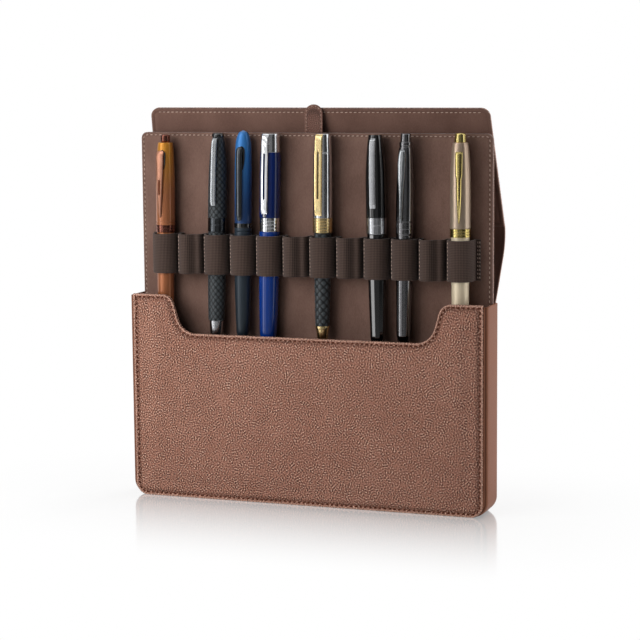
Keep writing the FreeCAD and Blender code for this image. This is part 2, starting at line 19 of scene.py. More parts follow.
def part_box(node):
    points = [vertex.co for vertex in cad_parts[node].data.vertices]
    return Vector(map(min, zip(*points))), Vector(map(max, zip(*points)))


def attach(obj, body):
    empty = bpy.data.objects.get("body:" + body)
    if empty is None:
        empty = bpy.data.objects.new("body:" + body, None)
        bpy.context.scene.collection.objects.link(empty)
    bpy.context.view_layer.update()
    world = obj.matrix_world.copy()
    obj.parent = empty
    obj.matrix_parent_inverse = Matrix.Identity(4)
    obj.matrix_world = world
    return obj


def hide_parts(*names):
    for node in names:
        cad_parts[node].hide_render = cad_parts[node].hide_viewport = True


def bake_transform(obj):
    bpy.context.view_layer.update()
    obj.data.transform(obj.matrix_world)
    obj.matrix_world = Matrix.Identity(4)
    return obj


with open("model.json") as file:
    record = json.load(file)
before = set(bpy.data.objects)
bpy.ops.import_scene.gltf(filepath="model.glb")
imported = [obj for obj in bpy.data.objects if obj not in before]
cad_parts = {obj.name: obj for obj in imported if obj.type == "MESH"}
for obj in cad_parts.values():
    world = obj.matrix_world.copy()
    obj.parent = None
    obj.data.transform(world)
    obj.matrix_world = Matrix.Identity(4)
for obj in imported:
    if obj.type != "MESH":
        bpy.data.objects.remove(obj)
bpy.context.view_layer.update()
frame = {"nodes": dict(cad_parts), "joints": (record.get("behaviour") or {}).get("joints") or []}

MM = 0.001


def span(node):
    """Lowest and highest corner of a CAD node, in millimetres."""
    low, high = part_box(node)
    return np.array(low) / MM, np.array(high) / MM


def joint(name):
    """A joint of the frame, by its name."""
    return next(item for item in frame["joints"] if item["name"] == name)


# %% [markdown]
# ## Surfaces from arrays
# Leather panels, elastic and lathe-turned metal are all surfaces of two parameters. Each
# can be an array of points with rows and columns, so one function that joins neighbouring
# points with four-sided faces serves them all. Points that fall on each other, such as a
# pole or a panel's middle line, are merged, and open ends are closed.

# %% Grid of points to mesh
SHARP_ANGLE = math.radians(38)
MERGE = 0.0005 * MM


def grid_faces(rows, columns, wrap_rows):
    """Quads between the points of a grid whose columns always close into a ring."""
    row = np.arange(rows if wrap_rows else rows - 1)[:, None]
    column = np.arange(columns)[None, :]
    next_row, next_column = (row + 1) % rows, (column + 1) % columns
    corners = (row * columns + column, row * columns + next_column,
               next_row * columns + next_column, next_row * columns + column)
    return np.stack(np.broadcast_arrays(*corners), axis=-1).reshape(-1, 4)


def make_piece(name, points, finish, wrap_rows=False, marks=None):
    """A closed, smooth piece from points in millimetres, shaped (rows, columns, 3)."""
    rows, columns = points.shape[:2]
    faces = grid_faces(rows, columns, wrap_rows)
    mesh = bpy.data.meshes.new(name)
    mesh.vertices.add(rows * columns)
    mesh.vertices.foreach_set("co", (points * MM).astype(np.float32).ravel())
    mesh.loops.add(faces.size)
    mesh.loops.foreach_set("vertex_index", faces.astype(np.int32).ravel())
    mesh.polygons.add(len(faces))
    mesh.polygons.foreach_set("loop_start", np.arange(0, faces.size, 4, dtype=np.int32))
    for mark, values in (marks or {}).items():
        attribute = mesh.attributes.new(mark, "FLOAT", "POINT")
        attribute.data.foreach_set("value", values.astype(np.float32).ravel())
    mesh.update(calc_edges=True)
    return close_piece(name, mesh, finish)


def close_piece(name, mesh, finish):
    """Merge doubled points, fill open ends, face outwards, shade smooth and link the piece."""
    work = bmesh.new()
    work.from_mesh(mesh)
    bmesh.ops.remove_doubles(work, verts=work.verts, dist=MERGE)
    bmesh.ops.dissolve_degenerate(work, edges=work.edges, dist=MERGE)
    rims = [edge for edge in work.edges if edge.is_boundary]
    if rims:
        bmesh.ops.holes_fill(work, edges=rims, sides=0)
    bmesh.ops.recalc_face_normals(work, faces=work.faces)
    for face in work.faces:
        face.smooth = True
    work.to_mesh(mesh)
    work.free()
    mesh.set_sharp_from_angle(angle=SHARP_ANGLE)
    piece = bpy.data.objects.new(name, mesh)
    piece.data.materials.append(finish)
    bpy.context.scene.collection.objects.link(piece)
    return piece


def dress(piece, body, slot, *nodes):
    """Ride a body and stand for CAD nodes, which are hidden; slot is not used."""
    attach(piece, body)
    if nodes:
        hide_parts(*nodes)
    return piece


def smooth_step(low, high, value):
    """0 below low, 1 above high, and an S curve in between."""
    share = np.clip((value - low) / (high - low), 0, 1)
    return share * share * (3 - 2 * share)


def run_length(line):
    """How far along a line each of its points lies."""
    return np.concatenate([[0], np.cumsum(np.linalg.norm(np.diff(line, axis=0), axis=1))])


def right_of(line):
    """Per point of a line in a plane, the unit step to its right."""
    ahead = np.gradient(line, axis=0)
    ahead /= np.linalg.norm(ahead, axis=1)[:, None]
    return np.stack([ahead[:, 1], -ahead[:, 0]], axis=1)


print("surface tools ready")

# %% [markdown]
# ## Finishes from expressions
# A finish is a small sum: grain colour plus wear, minus the dark of a crease. Blender has
# a node for each step, but a sum is easier to read than twenty nodes. So a socket gets
# wrapped in a class with Python's own operators, and each operator adds one Math node.

# %% Node arithmetic
class Value:
    """A node's output that can be used in sums with numbers and other values."""

    def __init__(self, nodes, socket):
        self.nodes = nodes
        self.socket = socket

    def maths(self, operation, first, second=0.0):
        """One Math node."""
        return self.nodes.node("ShaderNodeMath", {"operation": operation}, {0: first, 1: second})

    def __add__(self, other):
        return self.maths("ADD", self, other)

    def __sub__(self, other):
        return self.maths("SUBTRACT", self, other)

    def __rsub__(self, other):
        return self.maths("SUBTRACT", other, self)

    def __mul__(self, other):
        return self.maths("MULTIPLY", self, other)

    def __truediv__(self, other):
        return self.maths("DIVIDE", self, other)

    __radd__ = __add__
    __rmul__ = __mul__

    def stripes(self, pitch):
        """Soft stripes from 0 to 1, one for each pitch of this value."""
        return self.maths("SINE", self * (2 * math.pi / pitch)) * 0.5 + 0.5

    def largest(self, other):
        """The larger one of two values."""
        return self.maths("MAXIMUM", self, other)

    def between(self, low, high, ease="SMOOTHSTEP"):
        """0 at low, 1 at high, clamped, and eased unless ease is LINEAR."""
        settings = {"interpolation_type": ease}
        return self.nodes.node("ShaderNodeMapRange", settings, {0: self, 1: low, 2: high})


def paint(code):
    """A six-digit sRGB colour code as linear red, green, blue and alpha."""
    channels = [int(code[place:place + 2], 16) / 255 for place in (0, 2, 4)]
    linear = [c / 12.92 if c <= 0.04045 else ((c + 0.055) / 1.055) ** 2.4 for c in channels]
    return tuple(linear) + (1.0,)


class Nodes:
    """A node tree under construction."""

    def __init__(self, tree):
        self.tree = tree
        self.tree.nodes.clear()

    def node(self, kind, settings, inputs, output=0):
        """Add a node: settings first, then numbers or links for its sockets."""
        node = self.tree.nodes.new(kind)
        for key, setting in settings.items():
            setattr(node, key, setting)
        for socket, value in inputs.items():
            if isinstance(value, Value):
                self.tree.links.new(value.socket, node.inputs[socket])
            else:
                node.inputs[socket].default_value = value
        return Value(self, node.outputs[output]) if len(node.outputs) else None


class Finish(Nodes):
    """A material under construction."""

    def __init__(self, name):
        self.material = bpy.data.materials.new(name)
        self.material.use_nodes = True
        super().__init__(self.material.node_tree)

    def point(self):
        """The piece's own coordinates, in metres."""
        return self.node("ShaderNodeTexCoord", {}, {}, "Object")

    def height(self):
        """How high a point lies on the piece, in millimetres."""
        return self.node("ShaderNodeSeparateXYZ", {}, {0: self.point()}, "Z") / MM

    def mark(self, name):
        """A number stored on the piece's points."""
        return self.node("ShaderNodeAttribute", {"attribute_name": name}, {}, "Fac")

    def cloud(self, size_mm, detail, stretch=(1, 1, 1), roughness=0.55):
        """Soft noise whose blobs are about size_mm wide, and shorter where stretch is above 1."""
        place = self.node("ShaderNodeMapping", {}, {"Vector": self.point(), "Scale": stretch})
        inputs = {"Vector": place, "Scale": 1 / (size_mm * MM), "Detail": detail, "Roughness": roughness}
        return self.node("ShaderNodeTexNoise", {}, inputs, "Fac")

    def cells(self, size_mm, feature, jumble=0.0):
        """Voronoi cells about size_mm wide, bent by noise of jumble millimetres."""
        point = self.point()
        if jumble:
            coarse = {"Vector": point, "Scale": 1 / (size_mm * 2 * MM)}
            bend = self.node("ShaderNodeTexNoise", {}, coarse, "Color")
            shift = {0: bend, 1: (jumble * MM,) * 3, 2: point}
            point = self.node("ShaderNodeVectorMath", {"operation": "MULTIPLY_ADD"}, shift)
        inputs = {"Vector": point, "Scale": 1 / (size_mm * MM)}
        return self.node("ShaderNodeTexVoronoi", {"feature": feature}, inputs, "Distance")

    def pebbles(self, pitch_mm):
        """Height of even pebbles, 0 to 1, on a skin that faces front or back.

        Gabor noise is a crowd of short waves in all directions with one wavelength, so its
        bumps are all about as large as each other, which cells or cloud noise aren't.
        """
        flat = self.node("ShaderNodeMapping", {}, {"Vector": self.point(), "Rotation": (math.pi / 2, 0, 0)})
        inputs = {"Vector": flat, "Scale": 0.5 / (pitch_mm * MM), "Frequency": 2.0, "Anisotropy": 0.0}
        return self.node("ShaderNodeTexGabor", {"gabor_type": "2D"}, inputs, "Value")

    def mix(self, factor, first, second, blend="MIX"):
        """Two colours, each a colour code or a value, mixed by a factor."""
        settings = {"data_type": "RGBA", "blend_type": blend}
        first, second = [paint(colour) if isinstance(colour, str) else colour for colour in (first, second)]
        return self.node("ShaderNodeMix", settings, {0: factor, 6: first, 7: second}, 2)

    def bumped(self, height, depth_mm):
        """A normal raised by height (0 to 1) times a depth."""
        inputs = {"Height": height, "Distance": depth_mm * MM, "Strength": 1.0}
        return self.node("ShaderNodeBump", {}, inputs)

    def done(self, base, roughness, normal, **constants):
        """Close the finish with the Principled shader and give the material."""
        inputs = {"Base Color": base, "Roughness": roughness, "Normal": normal}
        inputs.update({key.replace("_", " "): value for key, value in constants.items()})
        shader = self.node("ShaderNodeBsdfPrincipled", {}, inputs, "BSDF")
        self.node("ShaderNodeOutputMaterial", {}, {"Surface": shader})
        return self.material


print("finish tools ready")

# %% [markdown]
# ## Leather, suede and thread
# Pebbled leather is a skin of small domes of much the same size with creases between
# them. Gabor noise is made of many short wave trains of one length, so it gives bumps of
# one size that never repeat. A single number then does three things: it raises the dome,
# paints shade into the crease and paints a pale highlight on the very top. Each sewn panel
# stores how far each point lies inside its edge, so that a highlight can be painted along
# the rim and shade into the stitch groove, as they look on the real one.

# %% Leather finishes
STITCH_INSET = 1.9


def leather(name, light, dark, pale, painted_shade, painted_glint, pitch_mm, depth_mm, gloss):
    """Pebbled leather with a painted highlight along its edge and painted shade in its stitch groove.

    light and dark are the pebble's two tones, speck the painted highlight on its top, deep the
    colour of the painted shade in the crease and the groove, and pale the painted highlight
    along the rim. The mark inset tells how far in a point lies.
    """
    finish = Finish(name)
    pebble = finish.pebbles(pitch_mm)
    dome = pebble.between(0.28, 0.72)
    fine = finish.cloud(0.35, 2.0)
    broad = finish.cloud(26.0, 2.0)
    # The dome's top is lighter than its foot: partly the grain's own tone, partly painted shading of the
    # relief.
    grain = finish.mix(fine * 0.1 + dome * 0.9, dark, light)
    # Painted shade in the creases between the pebbles.
    grain = finish.mix((1 - pebble.between(0.2, 0.44)) * 0.75, grain, painted_shade)
    # A painted highlight on the top of each pebble.
    grain = finish.mix(pebble.between(0.54, 0.8) * 0.7, grain, painted_glint)
    tone = finish.mix(broad.between(0.3, 0.7), "F5F1EF", "FFFFFF")
    base = finish.mix(1.0, grain, tone, "MULTIPLY")
    inset = finish.mark("inset")
    groove = STITCH_INSET
    # Painted shade in a band along the stitch groove.
    shade = inset.between(groove, groove + 0.6) - inset.between(groove + 0.9, groove + 3.0)
    base = finish.mix(shade * 0.5, base, painted_shade)
    # A painted highlight along the rim, and a fainter one out to the stitch line.
    rim = inset.between(0.05, 0.4) * (1 - inset.between(0.6, 1.1)) * 0.55
    rim = rim + (1 - inset.between(groove - 0.2, groove + 0.5)) * 0.2
    base = finish.mix(rim, base, pale)
    normal = finish.bumped(dome * 0.85 + fine * 0.15, depth_mm)
    roughness = (1 - dome) * 0.2 + fine * 0.14 + (gloss - 0.08)
    return finish.done(base, roughness, normal, Specular_IOR_Level=0.4)


def smooth_leather(name, light, dark, pale, painted_shade):
    """Fine, nearly smooth leather with faint creases along the strip."""
    finish = Finish(name)
    creases = finish.cloud(1.6, 4.0, stretch=(0.6, 0.6, 2.2))
    pores = finish.cells(0.55, "DISTANCE_TO_EDGE", jumble=0.2)
    broad = finish.cloud(30.0, 2.0)
    base = finish.mix(creases * 0.5 + broad * 0.5, dark, light)
    shade = finish.mark("shade")
    # Painted shade where the shade mark is above 0, as in the gusset's groove, the folds of its bead and
    # along its foot; a painted highlight where it is below 0.
    base = finish.mix(shade.between(0.0, 1.0) * 0.85, base, painted_shade)
    base = finish.mix((0 - shade).between(0.0, 1.0) * 0.7, base, pale)
    normal = finish.bumped(creases * 0.6 + pores.between(0.0, 0.3) * 0.4, 0.07)
    return finish.done(base, creases * 0.15 + 0.42, normal, Specular_IOR_Level=0.15)


def suede(name, light, dark):
    """Short nap: fine fibres, brushed patches and a soft sheen."""
    finish = Finish(name)
    nap = finish.cloud(0.28, 3.0, roughness=0.7)
    fibres = finish.cloud(0.5, 3.0, stretch=(1.0, 1.0, 0.35))
    brushed = finish.cloud(17.0, 3.0, stretch=(1.0, 1.0, 0.6))
    tone = nap * 0.35 + fibres * 0.25 + brushed * 0.4
    base = finish.mix(tone.between(0.3, 0.7), dark, light)
    inset = finish.mark("inset")
    shade = inset.between(1.1, 1.8) - inset.between(2.0, 2.9)
    base = finish.mix(shade * 0.6, base, dark)
    normal = finish.bumped(nap * 0.6 + fibres * 0.4, 0.09)
    return finish.done(base, nap * 0.12 + 0.84, normal, Sheen_Weight=0.25, Sheen_Roughness=0.5,
                       Specular_IOR_Level=0.15)


def thread(name, light, dark):
    """Waxed thread: two plies that twist round each other."""
    finish = Finish(name)
    plies = finish.cloud(0.3, 2.0, stretch=(1.0, 1.0, 2.5))
    base = finish.mix(plies, dark, light)
    return finish.done(base, plies * 0.2 + 0.5, finish.bumped(plies, 0.05), Specular_IOR_Level=0.2)


def elastic(name, light, dark):
    """Knitted elastic: raised ribs along the pen and a fine thread every 1.05 mm across them."""
    finish = Finish(name)
    rib = finish.mark("rib")
    fuzz = finish.cloud(0.3, 3.0, roughness=0.7)
    cross = finish.height().stripes(1.05)
    base = finish.mix(rib * 0.45 + fuzz * 0.25 + cross * 0.3, dark, light)
    normal = finish.bumped(fuzz * 0.5 + cross * 0.5, 0.06)
    return finish.done(base, fuzz * 0.1 + 0.8, normal, Sheen_Weight=0.15, Specular_IOR_Level=0.2)


def board_card(name, light, dark):
    """Grey bookbinder's board: pressed fibres with darker specks."""
    finish = Finish(name)
    fibres = finish.cloud(1.2, 4.0, stretch=(1.0, 1.0, 0.4))
    specks = finish.cloud(0.5, 2.0).between(0.62, 0.7)
    base = finish.mix(fibres, dark, light)
    base = finish.mix(specks * 0.5, base, dark)
    return finish.done(base, fibres * 0.1 + 0.85, finish.bumped(fibres, 0.08))


case_leather = leather("pebbled_leather", "B27F68", "74473A", "C49A87", "4A2718", "E2BCA7", 1.7, 0.8,
                       gloss=0.34)
edge_leather = smooth_leather("gusset_leather", "8E5D46", "7A4C37", "9C7260", "43200F")
tab_leather = leather("tab_leather", "6A483D", "54372C", "7D5A4D", "2E1B14", "8A6557", 1.2, 0.3,
                      gloss=0.5)
board_suede = suede("board_suede", "7A5F54", "5C443B")
flap_suede = suede("flap_suede", "72564B", "5A4037")
box_suede = suede("box_lining", "6B4F44", "4C362E")
dark_thread = thread("dark_thread", "65331F", "3E1C10")
pale_thread = thread("pale_thread", "CDB6A8", "8E7465")
loop_elastic = elastic("ribbed_elastic", "5A4840", "0E0705")
grey_card = board_card("grey_card", "9A958D", "77726B")
print("soft finishes:", len(bpy.data.materials))

# %% [markdown]
# ## Metals and lacquers for the pens
# Real metal is never one colour: turning leaves fine rings, handling leaves a haze, and a
# plated part is a little uneven. Lacquer adds a clear coat over a colour that may fade
# from one end of the cap to the other.

# %% Pen finishes
def metal(name, light, dark, rough, rings=0.0):
    """Plated metal with a faint haze. rings adds the lathe's turning marks, one every 0.45 mm."""
    finish = Finish(name)
    haze = finish.cloud(4.5, 3.0)
    swell = finish.cloud(9.0, 0.0)
    turned = finish.height().stripes(0.45)
    base = finish.mix(haze, dark, light)
    normal = finish.bumped(turned * rings * 0.5 + swell, 0.006)
    return finish.done(base, haze * 0.08 + rough, normal, Metallic=1.0)


def lacquer(name, low, high, start, end, rough, metallic=0.0, coat=1.0, coat_index=1.5):
    """Lacquer that fades from the colour low at start mm to the colour high at end mm."""
    finish = Finish(name)
    fade = finish.height().between(start, end)
    flakes = finish.cells(0.16, "F1").between(0.1, 0.9)
    haze = finish.cloud(3.0, 3.0)
    base = finish.mix(fade, low, high)
    base = finish.mix(flakes * 0.12 + haze * 0.08, base, high)
    normal = finish.bumped(haze, 0.004)
    return finish.done(base, haze * 0.06 + rough, normal, Metallic=metallic, Coat_Weight=coat,
                       Coat_Roughness=0.05, Coat_IOR=coat_index, Specular_IOR_Level=0.5 * (1 - coat))


def carved(name, light, dark):
    """Satin black with pale rubbed crests and dark cut valleys."""
    finish = Finish(name)
    crest = finish.mark("crest")
    wear = finish.cloud(0.8, 3.0)
    base = finish.mix(crest.between(0.2, 1.0) * (wear * 0.4 + 0.6), dark, light)
    return finish.done(base, 0.46 - crest * 0.14 + wear * 0.06, finish.bumped(wear, 0.02),
                       Specular_IOR_Level=0.5)


chrome = metal("bright_chrome", "F2F3F5", "D2D4D8", 0.07)
silver = metal("satin_silver", "CFD0D3", "B9BBBF", 0.2, rings=0.6)
gold = metal("polished_gold", "F6DEA9", "E8CB8E", 0.2)
olive_gold = metal("olive_gold", "DCCB8A", "BFA963", 0.14)
gun_metal = metal("gun_metal", "908F91", "727174", 0.12)
rose_copper = metal("rose_copper", "CE987F", "B27B62", 0.3)
dark_copper = metal("dark_copper", "9A6557", "74463A", 0.16)
black_metal = metal("black_metal", "64686C", "45484B", 0.14)
smoke_metal = metal("smoke_metal", "B4B7BA", "8F9295", 0.16)
black_gloss = lacquer("black_lacquer", "030405", "07080A", 100, 240, 0.08, coat_index=1.9)
amber_fade = lacquer("amber_lacquer", "9C6044", "C8872F", 200, 236, 0.27, metallic=0.5, coat=0.5)
copper_satin = lacquer("copper_satin", "9A5E3E", "AD6C46", 100, 180, 0.3, metallic=0.6, coat=0.3)
blue_fade = lacquer("blue_lacquer", "1F3158", "3474B5", 188, 236, 0.34, metallic=0.35, coat=0.3)
night_satin = lacquer("night_lacquer", "222A31", "2B343D", 110, 180, 0.36, metallic=0.3, coat=0.3)
navy_gloss = lacquer("navy_lacquer", "081C50", "0A215C", 185, 235, 0.1, coat_index=1.6)
royal_gloss = lacquer("royal_lacquer", "062C70", "08317C", 105, 180, 0.1, coat_index=1.6)
champagne = lacquer("champagne_satin", "B7A48F", "C0A892", 180, 240, 0.28, metallic=0.75, coat=0.3)
champagne_low = lacquer("champagne_barrel", "D2C2A6", "DACBB0", 105, 180, 0.36, metallic=0.35, coat=0.3)
carved_black = carved("carved_black", "3E4447", "0B0D0F")
print("all finishes:", len(bpy.data.materials))

# %% [markdown]
# ## Outlines of the sewn panels
# Every panel is cut to an outline: straight runs joined by round corners. A corner is
# given as a point and a radius, and the arc that touches both runs is worked out from
# them, also for a hollow corner such as the foot of the notch. Moving every point of an
# outline inwards by the same distance gives the line on which the stitches run.

# %% Rounded outlines
def rounded(corners, step=1.3):
    """Points round a closed outline, anticlockwise, from corners (x, z, radius)."""
    runs = []
    count = len(corners)
    for place in range(count):
        corner = np.array(corners[place][:2], float)
        radius = corners[place][2]
        before = np.array(corners[place - 1][:2], float) - corner
        after = np.array(corners[(place + 1) % count][:2], float) - corner
        before /= np.linalg.norm(before)
        after /= np.linalg.norm(after)
        if radius == 0:
            runs.append(corner[None, :])
            continue
        opening = math.acos(np.clip(before @ after, -1, 1))
        reach = radius / math.tan(opening / 2)
        turn = np.sign(before[0] * after[1] - before[1] * after[0])
        middle = corner + (before + after) / np.linalg.norm(before + after) * math.hypot(reach, radius)
        first = corner + before * reach - middle
        angle = np.linspace(0, -turn * (math.pi - opening), max(6, int(radius * 1.6)))
        turned = np.stack([first[0] * np.cos(angle) - first[1] * np.sin(angle),
                           first[0] * np.sin(angle) + first[1] * np.cos(angle)], axis=1)
        runs.append(middle + turned)
    points = []
    for run, following in zip(runs, runs[1:] + runs[:1]):
        gap = following[0] - run[-1]
        count = max(1, round(np.linalg.norm(gap) / step))
        points += [run, run[-1] + gap * (np.arange(1, count)[:, None] / count)]
    return np.concatenate(points)


square = rounded([(5, 0, 2), (5, 10, 2), (-5, 10, 2), (-5, 0, 2)])
print("a 10 mm square with round corners has", len(square), "points")

# %% Outlines moved inwards
def inward(outline):
    """Per point, the step that moves a closed outline inwards by 1 mm, mitred at corners."""
    ahead = np.roll(outline, -1, axis=0) - outline
    ahead /= np.linalg.norm(ahead, axis=1)[:, None]
    normal = np.stack([-ahead[:, 1], ahead[:, 0]], axis=1)
    last = np.roll(normal, 1, axis=0)
    return (normal + last) / (1 + np.sum(normal * last, axis=1))[:, None]


def inner_ring(outline, steps, inset):
    """An outline moved inwards; next to a sharp corner the points gather in the new corner."""
    ring = outline + steps * inset
    return np.clip(ring, outline.min(axis=0) + inset, outline.max(axis=0) - inset)


print("moved in by 1 mm it is", np.ptp(inner_ring(square, inward(square), 1.0)[:, 0]), "mm wide")

# %% Hand-laid unevenness
def wander(x, z, size, seed):
    """Slow unevenness from four crossing waves, each size mm long, between about -1 and 1."""
    phases = np.array([0.0, 1.7, 3.1, 4.6]) + seed
    headings = np.array([0.3, 1.4, 2.3, 2.9]) + seed * 0.37
    full_turn = 6.28
    crossing = [np.sin((x * math.cos(heading) + z * math.sin(heading)) * full_turn / size + phase)
                for heading, phase in zip(headings, phases)]
    return sum(crossing) / len(crossing)


def waves(height, size, seed, rise=0.0):
    """A lift for a panel: an even rise in mm plus slow waves of a height in mm."""
    def lift(x, z):
        """The lift at places on the panel."""
        return rise + height * wander(x, z, size, seed)
    return lift


print("unevenness at the origin:", round(float(wander(0, 0, 100, 0.4)), 2))

# %% [markdown]
# ## Panels
# A sewn panel is a flat body whose edge has a section of its own: a rim, a dip for
# the seam and padding inside it. A plane with bevelled edges could be sculpted, but then
# the notch would need it again. So each ring of points is the outline moved inwards by
# one inset and set at one depth, and the flat inside is filled with rings that shrink
# onto a middle line.

# %% Panel from an outline
SWELL = 10.0
MOUTH = 0.94
INNER_RINGS = np.linspace(1, 0, 19)[:-1] ** 1.5
INNER_INSET = 9.0


def panel(name, outline, rows, finish, middle, lift=None, back_lift=None, stand=None):
    """A closed flat piece: a profile of (inset, Y) rows carried round an outline.

    Row 0 faces the front and the last row the back. From each of them the surface runs on
    to the middle line (its height, half width and point spacing), where its two sides meet
    and merge: each point of the outline heads for MOUTH times its own X. lift moves the
    front by a distance in Y, which grows from nothing at the first row to its full size
    SWELL mm further from the nearest edge, and back_lift moves the back. stand places the
    finished points. The mark inset grows by INNER_INSET towards the middle line.
    """
    step_in = inward(outline)
    rings = [inner_ring(outline, step_in, row[0]) for row in rows]
    line_height, line_half, snap = middle
    mouth = np.clip(outline[:, 0] * MOUTH, -line_half, line_half)
    target = np.stack([np.round(mouth / snap) * snap, np.full(len(outline), line_height)], axis=1)
    layers, depths, insets = [], [], []

    def add(flat, depth, inset):
        """One more ring of points, at a depth and with its mark."""
        layers.append(flat)
        depths.append(depth + np.zeros(len(flat)))
        insets.append(np.full(len(flat), inset))

    def add_inside(ring, row, shares, raise_by):
        """The rings between an edge ring and the middle line, lifted by raise_by."""
        inset, depth = row
        for share in shares:
            flat = ring + (target - ring) * share
            within = np.linalg.norm(flat[:, None] - outline[None], axis=2).min(axis=1) - inset
            extra = raise_by(flat[:, 0], flat[:, 1]) * smooth_step(0, SWELL, within) if raise_by else 0
            add(flat, depth + extra, inset + INNER_INSET * share)

    add_inside(rings[0], rows[0], INNER_RINGS, lift)
    for ring, (inset, depth) in zip(rings, rows):
        add(ring, depth, inset)
    add_inside(rings[-1], rows[-1], INNER_RINGS[::-1], back_lift)
    flat = np.array(layers)
    points = np.stack([flat[..., 0], np.array(depths), flat[..., 1]], axis=-1)
    points = stand(points) if stand else points
    return make_piece(name, points, finish, marks={"inset": np.array(insets)})


print("rings from an edge to the middle line:", len(INNER_RINGS))

# %% [markdown]
# ## Thread
# A machine seam is a row of short bars, each pulled into its holes at both ends. A normal
# map would show them flat at the rim, so every stitch is a body of its own, with few
# faces because there are hundreds of them.

# %% Stitches
def stitches(name, path, outward, thread_finish, thick, pitch=3.3, length=2.3, closed=True, slant=0.1):
    """Rows of short thread bars along a path, each one a small closed spindle.

    A bar is a ring of six points carried along its length with a radius that is full in
    the middle and small at both ends, and it sinks into its holes there.
    """
    ends = np.concatenate([path, path[:1]]) if closed else path
    along = run_length(ends)
    count = max(1, int(round(along[-1] / pitch)))
    centre_at = (np.arange(count) + 0.5) * along[-1] / count

    def at(distance):
        """Points of the path at distances along it."""
        return np.stack([np.interp(distance, along, ends[:, axis]) for axis in range(3)], axis=1)

    centre = at(centre_at)
    ahead = at(np.minimum(centre_at + length / 2, along[-1])) - at(np.maximum(centre_at - length / 2, 0))
    ahead /= np.linalg.norm(ahead, axis=1)[:, None]
    out = np.broadcast_to(np.asarray(outward, float), centre.shape)
    side = np.cross(out, ahead)
    ahead = ahead + side * slant
    share = np.array([-1, -0.85, -0.4, 0.4, 0.85, 1])
    swell = np.array([0.25, 0.7, 1, 1, 0.7, 0.25]) * thick
    sink = -np.array([1.1, 0.45, 0, 0, 0.45, 1.1]) * thick
    round_angle = np.arange(6) * math.pi / 3
    ring_side = swell[:, None] * np.cos(round_angle)
    ring_out = sink[:, None] + swell[:, None] * np.sin(round_angle)
    points = (centre[:, None, None]
              + ahead[:, None, None] * (share * length / 2)[None, :, None, None]
              + side[:, None, None] * ring_side[None, :, :, None]
              + out[:, None, None] * ring_out[None, :, :, None])
    bars, rows, columns = points.shape[:3]
    faces = grid_faces(rows, columns, False)
    caps = np.array([[0, 5, 2, 1], [5, 4, 3, 2]])
    last = (rows - 1) * columns
    bar_faces = np.concatenate([faces, caps, caps[:, ::-1] + last])
    every = (bar_faces[None] + (np.arange(bars) * rows * columns)[:, None, None]).reshape(-1, 4)
    mesh = bpy.data.meshes.new(name)
    mesh.from_pydata((points.reshape(-1, 3) * MM).tolist(), [], every.tolist())
    return close_piece(name, mesh, thread_finish)


def seam(name, outline, inset, depth, facing, thread_finish, **look):
    """Stitches along an outline moved inwards, at a Y of depth; facing is -1 to the front."""
    flat = outline + inward(outline) * inset
    path = np.stack([flat[:, 0], np.full(len(flat), depth), flat[:, 1]], axis=1)
    return stitches(name, path, (0, facing, 0), thread_finish, **look)


print("stitch tools ready")

# %% [markdown]
# ## The box: front, back, gusset and linings
# Each face of the box is leather turned over a card and sewn to a strip, the gusset, that
# runs down one side, under the foot and up the other. Sewing pulls the leather down along
# the stitch line and leaves it padded inside it. That dip is what makes leather look soft
# in a picture, so it is real shape here: a profile of the dip is carried round the panel's
# outline. At the open top edge the leather is turned over to the lining.

# %% Front panel
face_low, face_high = span("front_leather")
FRONT_Y, HALF, TOP = face_low[1], face_high[0], face_high[2]
SKIN = face_high[1] - face_low[1]
FACE_CORNER, SHOULDER, NOTCH = 8.0, 21.0, 25.6
CREST, VALLEY, SLOPE = 8.5, 13.0, math.radians(16.0)
crest_x = HALF - SHOULDER - CREST * math.tan((math.pi / 2 - SLOPE) / 2)
valley_x = crest_x - NOTCH * math.tan(SLOPE)
front_outline = rounded([
    (HALF, 0, FACE_CORNER), (HALF, TOP, 0),
    (crest_x, TOP, CREST), (valley_x, TOP - NOTCH, VALLEY),
    (-valley_x, TOP - NOTCH, VALLEY), (-crest_x, TOP, CREST),
    (-HALF, TOP, 0), (-HALF, 0, FACE_CORNER),
])
PADDING = 1.5
# From the padded middle out to the stitch groove and the rim, in (inset, outwards)
PADDED = [(7.6, 0.5), (6.6, 0.48), (5.7, 0.4), (4.9, 0.24), (4.2, 0.0), (3.6, -0.26), (3.1, -0.44),
          (2.6, -0.54), (2.25, -0.6), (1.9, -0.62), (1.55, -0.5), (1.25, -0.16), (1.0, -0.03),
          (0.6, 0.0), (0.3, -0.08), (0.08, -0.28), (0.0, -0.55)]


def leather_rows(surface, facing, thick):
    """The padded profile, then the hidden side; facing is -1 to the front and +1 to the back."""
    outside = [(inset, surface + facing * out) for inset, out in PADDED]
    hidden = surface - facing * thick
    inside = [(0.0, surface - facing * (thick - 0.25)), (0.3, hidden), (PADDED[0][0], hidden)]
    rows = outside + inside
    return rows if facing < 0 else rows[::-1]


def front_lift(x, z):
    """Padding under the front leather: an even rise with long and short waves on it."""
    return -PADDING - 0.12 * wander(x, z, 95, 0.4) - 0.05 * wander(x, z, 31, 2.2)


front_cover = panel("front_cover", front_outline, leather_rows(FRONT_Y, -1, SKIN), case_leather,
                    (58.0, 96.0, 2.5), lift=front_lift)
dress(front_cover, "case", "brown_leather", "front_leather")
front_seam = seam("front_cover_stitches", front_outline, STITCH_INSET, FRONT_Y + 0.5, -1, dark_thread,
                  length=2.1, thick=0.5, slant=0.12)
dress(front_seam, "case", "brown_leather")
print("front panel points:", len(front_cover.data.vertices))

# %% Turned hem along the open edge
def open_edge(outline, spread):
    """The points of a closed outline whose edge faces up, from right to left, and their steps in."""
    facing = inward(outline)[:, 1] < -spread
    start = int(np.argmax(facing & ~np.roll(facing, 1)))
    turned, steps = np.roll(outline, -start, axis=0), np.roll(inward(outline), -start, axis=0)
    count = int(np.roll(facing, -start).argmin()) or len(outline)
    return turned[:count], steps[:count]


